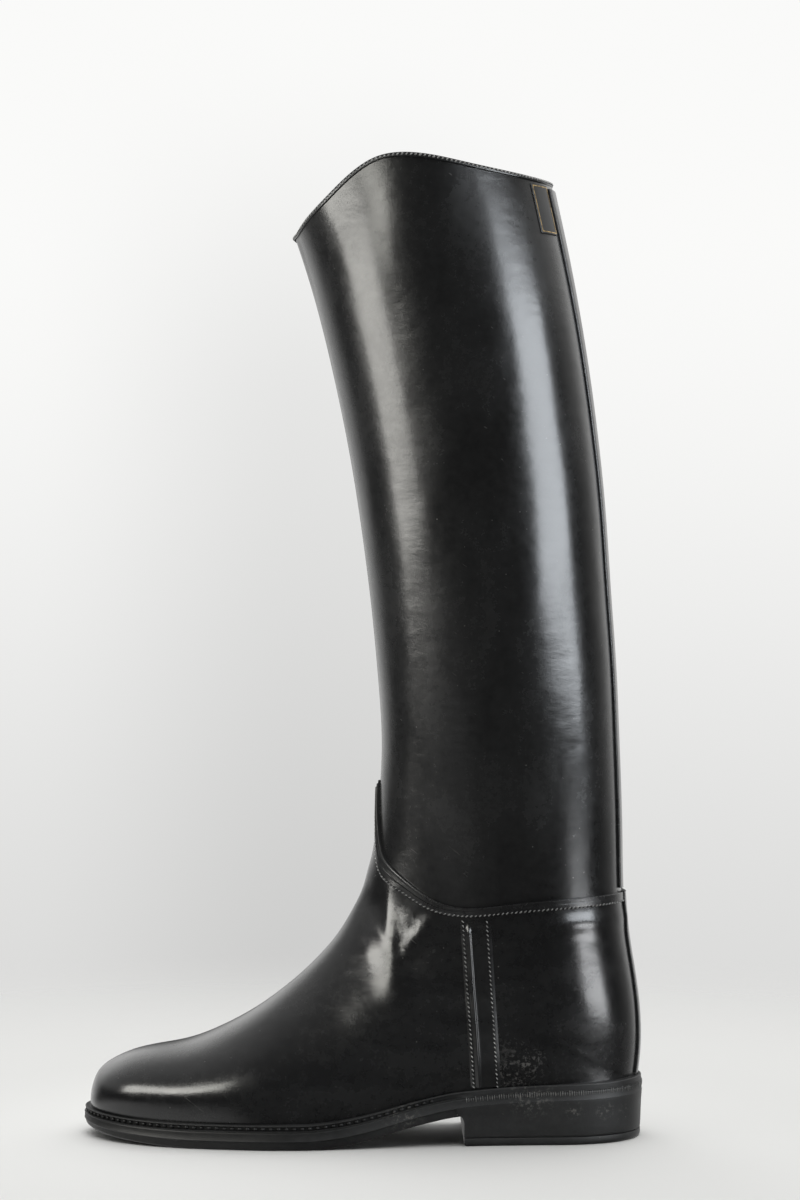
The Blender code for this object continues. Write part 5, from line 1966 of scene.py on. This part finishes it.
@dataclass
class Studio:
    """Pale floor, soft lights and the camera of a level side view."""

    eye: Triple = (0.0186, -1.5, 0.2665)
    lens: float = 90.0
    sensor: float = 36.0
    floor_rings: tuple[float, ...] = (0.5, 1.0, 2.0, 6.0)
    floor_sides: int = 96
    # Painted fill light: the floor's colour near the boot is lighter than its far tone, which lifts the
    # boot's cast shadow.
    floor_tone: Colour = (0.785, 0.785, 0.77)
    far_tone: Colour = (0.66, 0.66, 0.648)
    floor_roughness: float = 0.65
    tone_fade: Span = (0.06, 0.28)
    edge_fade: Span = (0.24, 0.8)
    front_fade: Span = (-0.32, -0.18)
    room_tint: Colour = (1.0, 1.0, 0.99)
    room_level: float = 0.03
    panel_level: float = 0.85
    panel_spans: tuple[Span, Span, Span] = ((0.1, 0.25), (0.35, 0.8), (0.5, 0.95))
    sky_level: float = 0.6
    sky_spans: tuple[Span, Span] = ((0.1, 0.4), (-0.95, 0.5))
    wall_level: float = 0.34
    wall_spans: tuple[Span, Span] = ((0.3, 0.8), (-0.1, 0.5))
    ground_level: float = 0.8
    ground_spans: tuple[Span, Span] = ((-0.45, -0.12), (-0.5, -0.1))
    backdrop: Span = (0.70, 0.955)
    backdrop_span: Span = (-0.17, 0.13)
    backdrop_shade: float = 0.15
    shade_spans: tuple[Span, Span, Span] = ((-0.13, -0.03), (-0.01, 0.06), (0.06, 0.19))
    boxes: tuple[SoftBox, ...] = (
        SoftBox("left", (-0.57, -0.345, 0.335), 0.40, 0.26, 9.8, (1.0, 0.985, 0.93), 12.0, True, False),
        SoftBox("toe", (-0.56, -0.80, 0.54), 0.24, 0.30, 9.0, (1.0, 0.99, 0.92), 0.0, True, False),
        SoftBox("right", (0.60, -0.40, 0.395), 0.40, 0.46, 10.5, (0.90, 0.95, 1.0), -6.0, True, False),
        SoftBox("low_right", (0.34, -0.19, 0.05), 0.12, 0.075, 10.0, (0.96, 0.98, 1.0), 0.0, True, False),
        SoftBox("overhead", (0.0, -0.05, 2.2), 3.0, 3.0, 2.05, (1.0, 1.0, 1.0), 0.0, False, True),
    )
    aim: Triple = (0.03, 0.0, 0.25)

    def build(self) -> None:
        """Build the studio."""
        self.build_camera()
        self.build_floor()
        self.build_world()
        for box in self.boxes:
            self.build_light(box)

    def build_camera(self) -> None:
        """Level camera square to the boot's outer side."""
        camera = bpy.data.objects.new("camera", bpy.data.cameras.new("camera"))
        camera.data.lens = self.lens
        camera.data.sensor_width = self.sensor
        camera.location = self.eye
        camera.rotation_euler = (np.pi / 2.0, 0.0, 0.0)
        bpy.context.scene.collection.objects.link(camera)
        bpy.context.scene.camera = camera

    def floor_material(self) -> Material:
        """Pale paper that fades out into the backdrop, painted lighter near the boot as a painted fill light
        over the boot's shadow.

        Returns:
            The material.
        """
        paint = Paint.named("floor_paper")
        place = paint.place()
        radius = paint.node("ShaderNodeVectorMath", {"operation": "LENGTH"}, {0: place}, output="Value")
        # Painted fill light: lighter colour near the boot, fading out to the far tone.
        colour = paint.mix(radius.rise(*self.tone_fade), self.floor_tone, self.far_tone)
        front = paint.axis(place, "Y").rise(*self.front_fade)
        alpha = (1.0 - radius.rise(*self.edge_fade)) * front
        return paint.finish({"Base Color": colour, "Roughness": self.floor_roughness, "Alpha": alpha})

    def build_floor(self) -> None:
        """Wide round floor."""
        size = self.floor_sides
        turns = np.linspace(0.0, 2.0 * np.pi, size + 1)[:-1]
        points = [(0.0, 0.0, 0.0)]
        for radius in self.floor_rings:
            points += [(radius * np.cos(turn), radius * np.sin(turn), 0.0) for turn in turns]
        faces: list[Face] = [(0, 1 + j, 1 + (j + 1) % size) for j in range(size)]
        faces += [tuple(1 + corner for corner in quad[::-1]) for quad in quads(len(self.floor_rings), size)]
        mesh = bpy.data.meshes.new("floor")
        mesh.from_pydata(points, [], faces)
        mesh.materials.append(self.floor_material())
        floor = bpy.data.objects.new("floor", mesh)
        floor.visible_glossy = False
        bpy.context.scene.collection.objects.link(floor)

    def build_world(self) -> None:
        """Pale backdrop for the eye; for reflections a dark room with a bright panel on both sides behind."""
        world = bpy.data.worlds.new("studio")
        bpy.context.scene.world = world
        paint = Paint(world, "Background")
        place = paint.node("ShaderNodeTexCoord", output="Generated")
        x, y, z = (paint.axis(place, axis) for axis in "XYZ")
        panel_x, panel_y, panel_z = self.panel_spans
        panels = abs(x).rise(*panel_x) * y.rise(*panel_y) * (1.0 - z.rise(*panel_z))
        sky = z.rise(*self.sky_spans[0]) * y.rise(*self.sky_spans[1])
        wall = x.rise(*self.wall_spans[0]) * y.rise(*self.wall_spans[1])
        ground = (1.0 - z.rise(*self.ground_spans[0])) * (1.0 - x.rise(*self.ground_spans[1]))
        room = panels * self.panel_level + sky * self.sky_level + wall * self.wall_level + self.room_level
        room = room + ground * self.ground_level
        low, high = self.backdrop
        backdrop = z.rise(*self.backdrop_span) * (high - low) + low
        left, right, top = self.shade_spans
        shade = x.rise(*left) * (1.0 - x.rise(*right)) * (1.0 - z.rise(*top))
        backdrop = backdrop * (1.0 - shade * self.backdrop_shade)
        eye = paint.node("ShaderNodeLightPath", output="Is Camera Ray")
        paint.finish({"Color": self.room_tint, "Strength": room + eye * (backdrop - room)})

    def build_light(self, box: SoftBox) -> None:
        """Soft light that faces the boot.

        Args:
            box: the light's place, size and brightness.
        """
        light = bpy.data.lights.new(box.name, "AREA")
        light.shape = "RECTANGLE"
        light.size = box.width
        light.size_y = box.height
        light.energy = box.level * np.pi * box.width * box.height
        light.color = box.tint
        lamp = bpy.data.objects.new(box.name, light)
        lamp.location = box.middle
        lamp.rotation_mode = "QUATERNION"
        facing = (lamp.location - Vector(self.aim)).to_track_quat("Z", "Y")
        lamp.rotation_quaternion = facing @ Quaternion((0.0, 0.0, 1.0), np.radians(box.roll))
        lamp.visible_camera = False
        lamp.visible_glossy = box.mirrored
        lamp.visible_diffuse = box.spreads
        bpy.context.scene.collection.objects.link(lamp)


def main() -> None:
    """Build the studio, then every piece of the boot."""
    logging.basicConfig(level=logging.INFO, format="%(message)s")
    bpy.context.scene.view_settings.view_transform = "Standard"
    Studio().build()
    kit = Last(), Finishes(), StitchTree()
    inner_strip = SideStrip(*kit, side=Side.INNER, name="side_strip_inner")
    for assembly in (Upper(*kit), AnkleBand(*kit), SideStrip(*kit), inner_strip, BackStrips(*kit),
                     Collar(*kit), LabelPatch(*kit), Sole(*kit)):
        assembly.build()


if __name__ == "__main__":
    main()
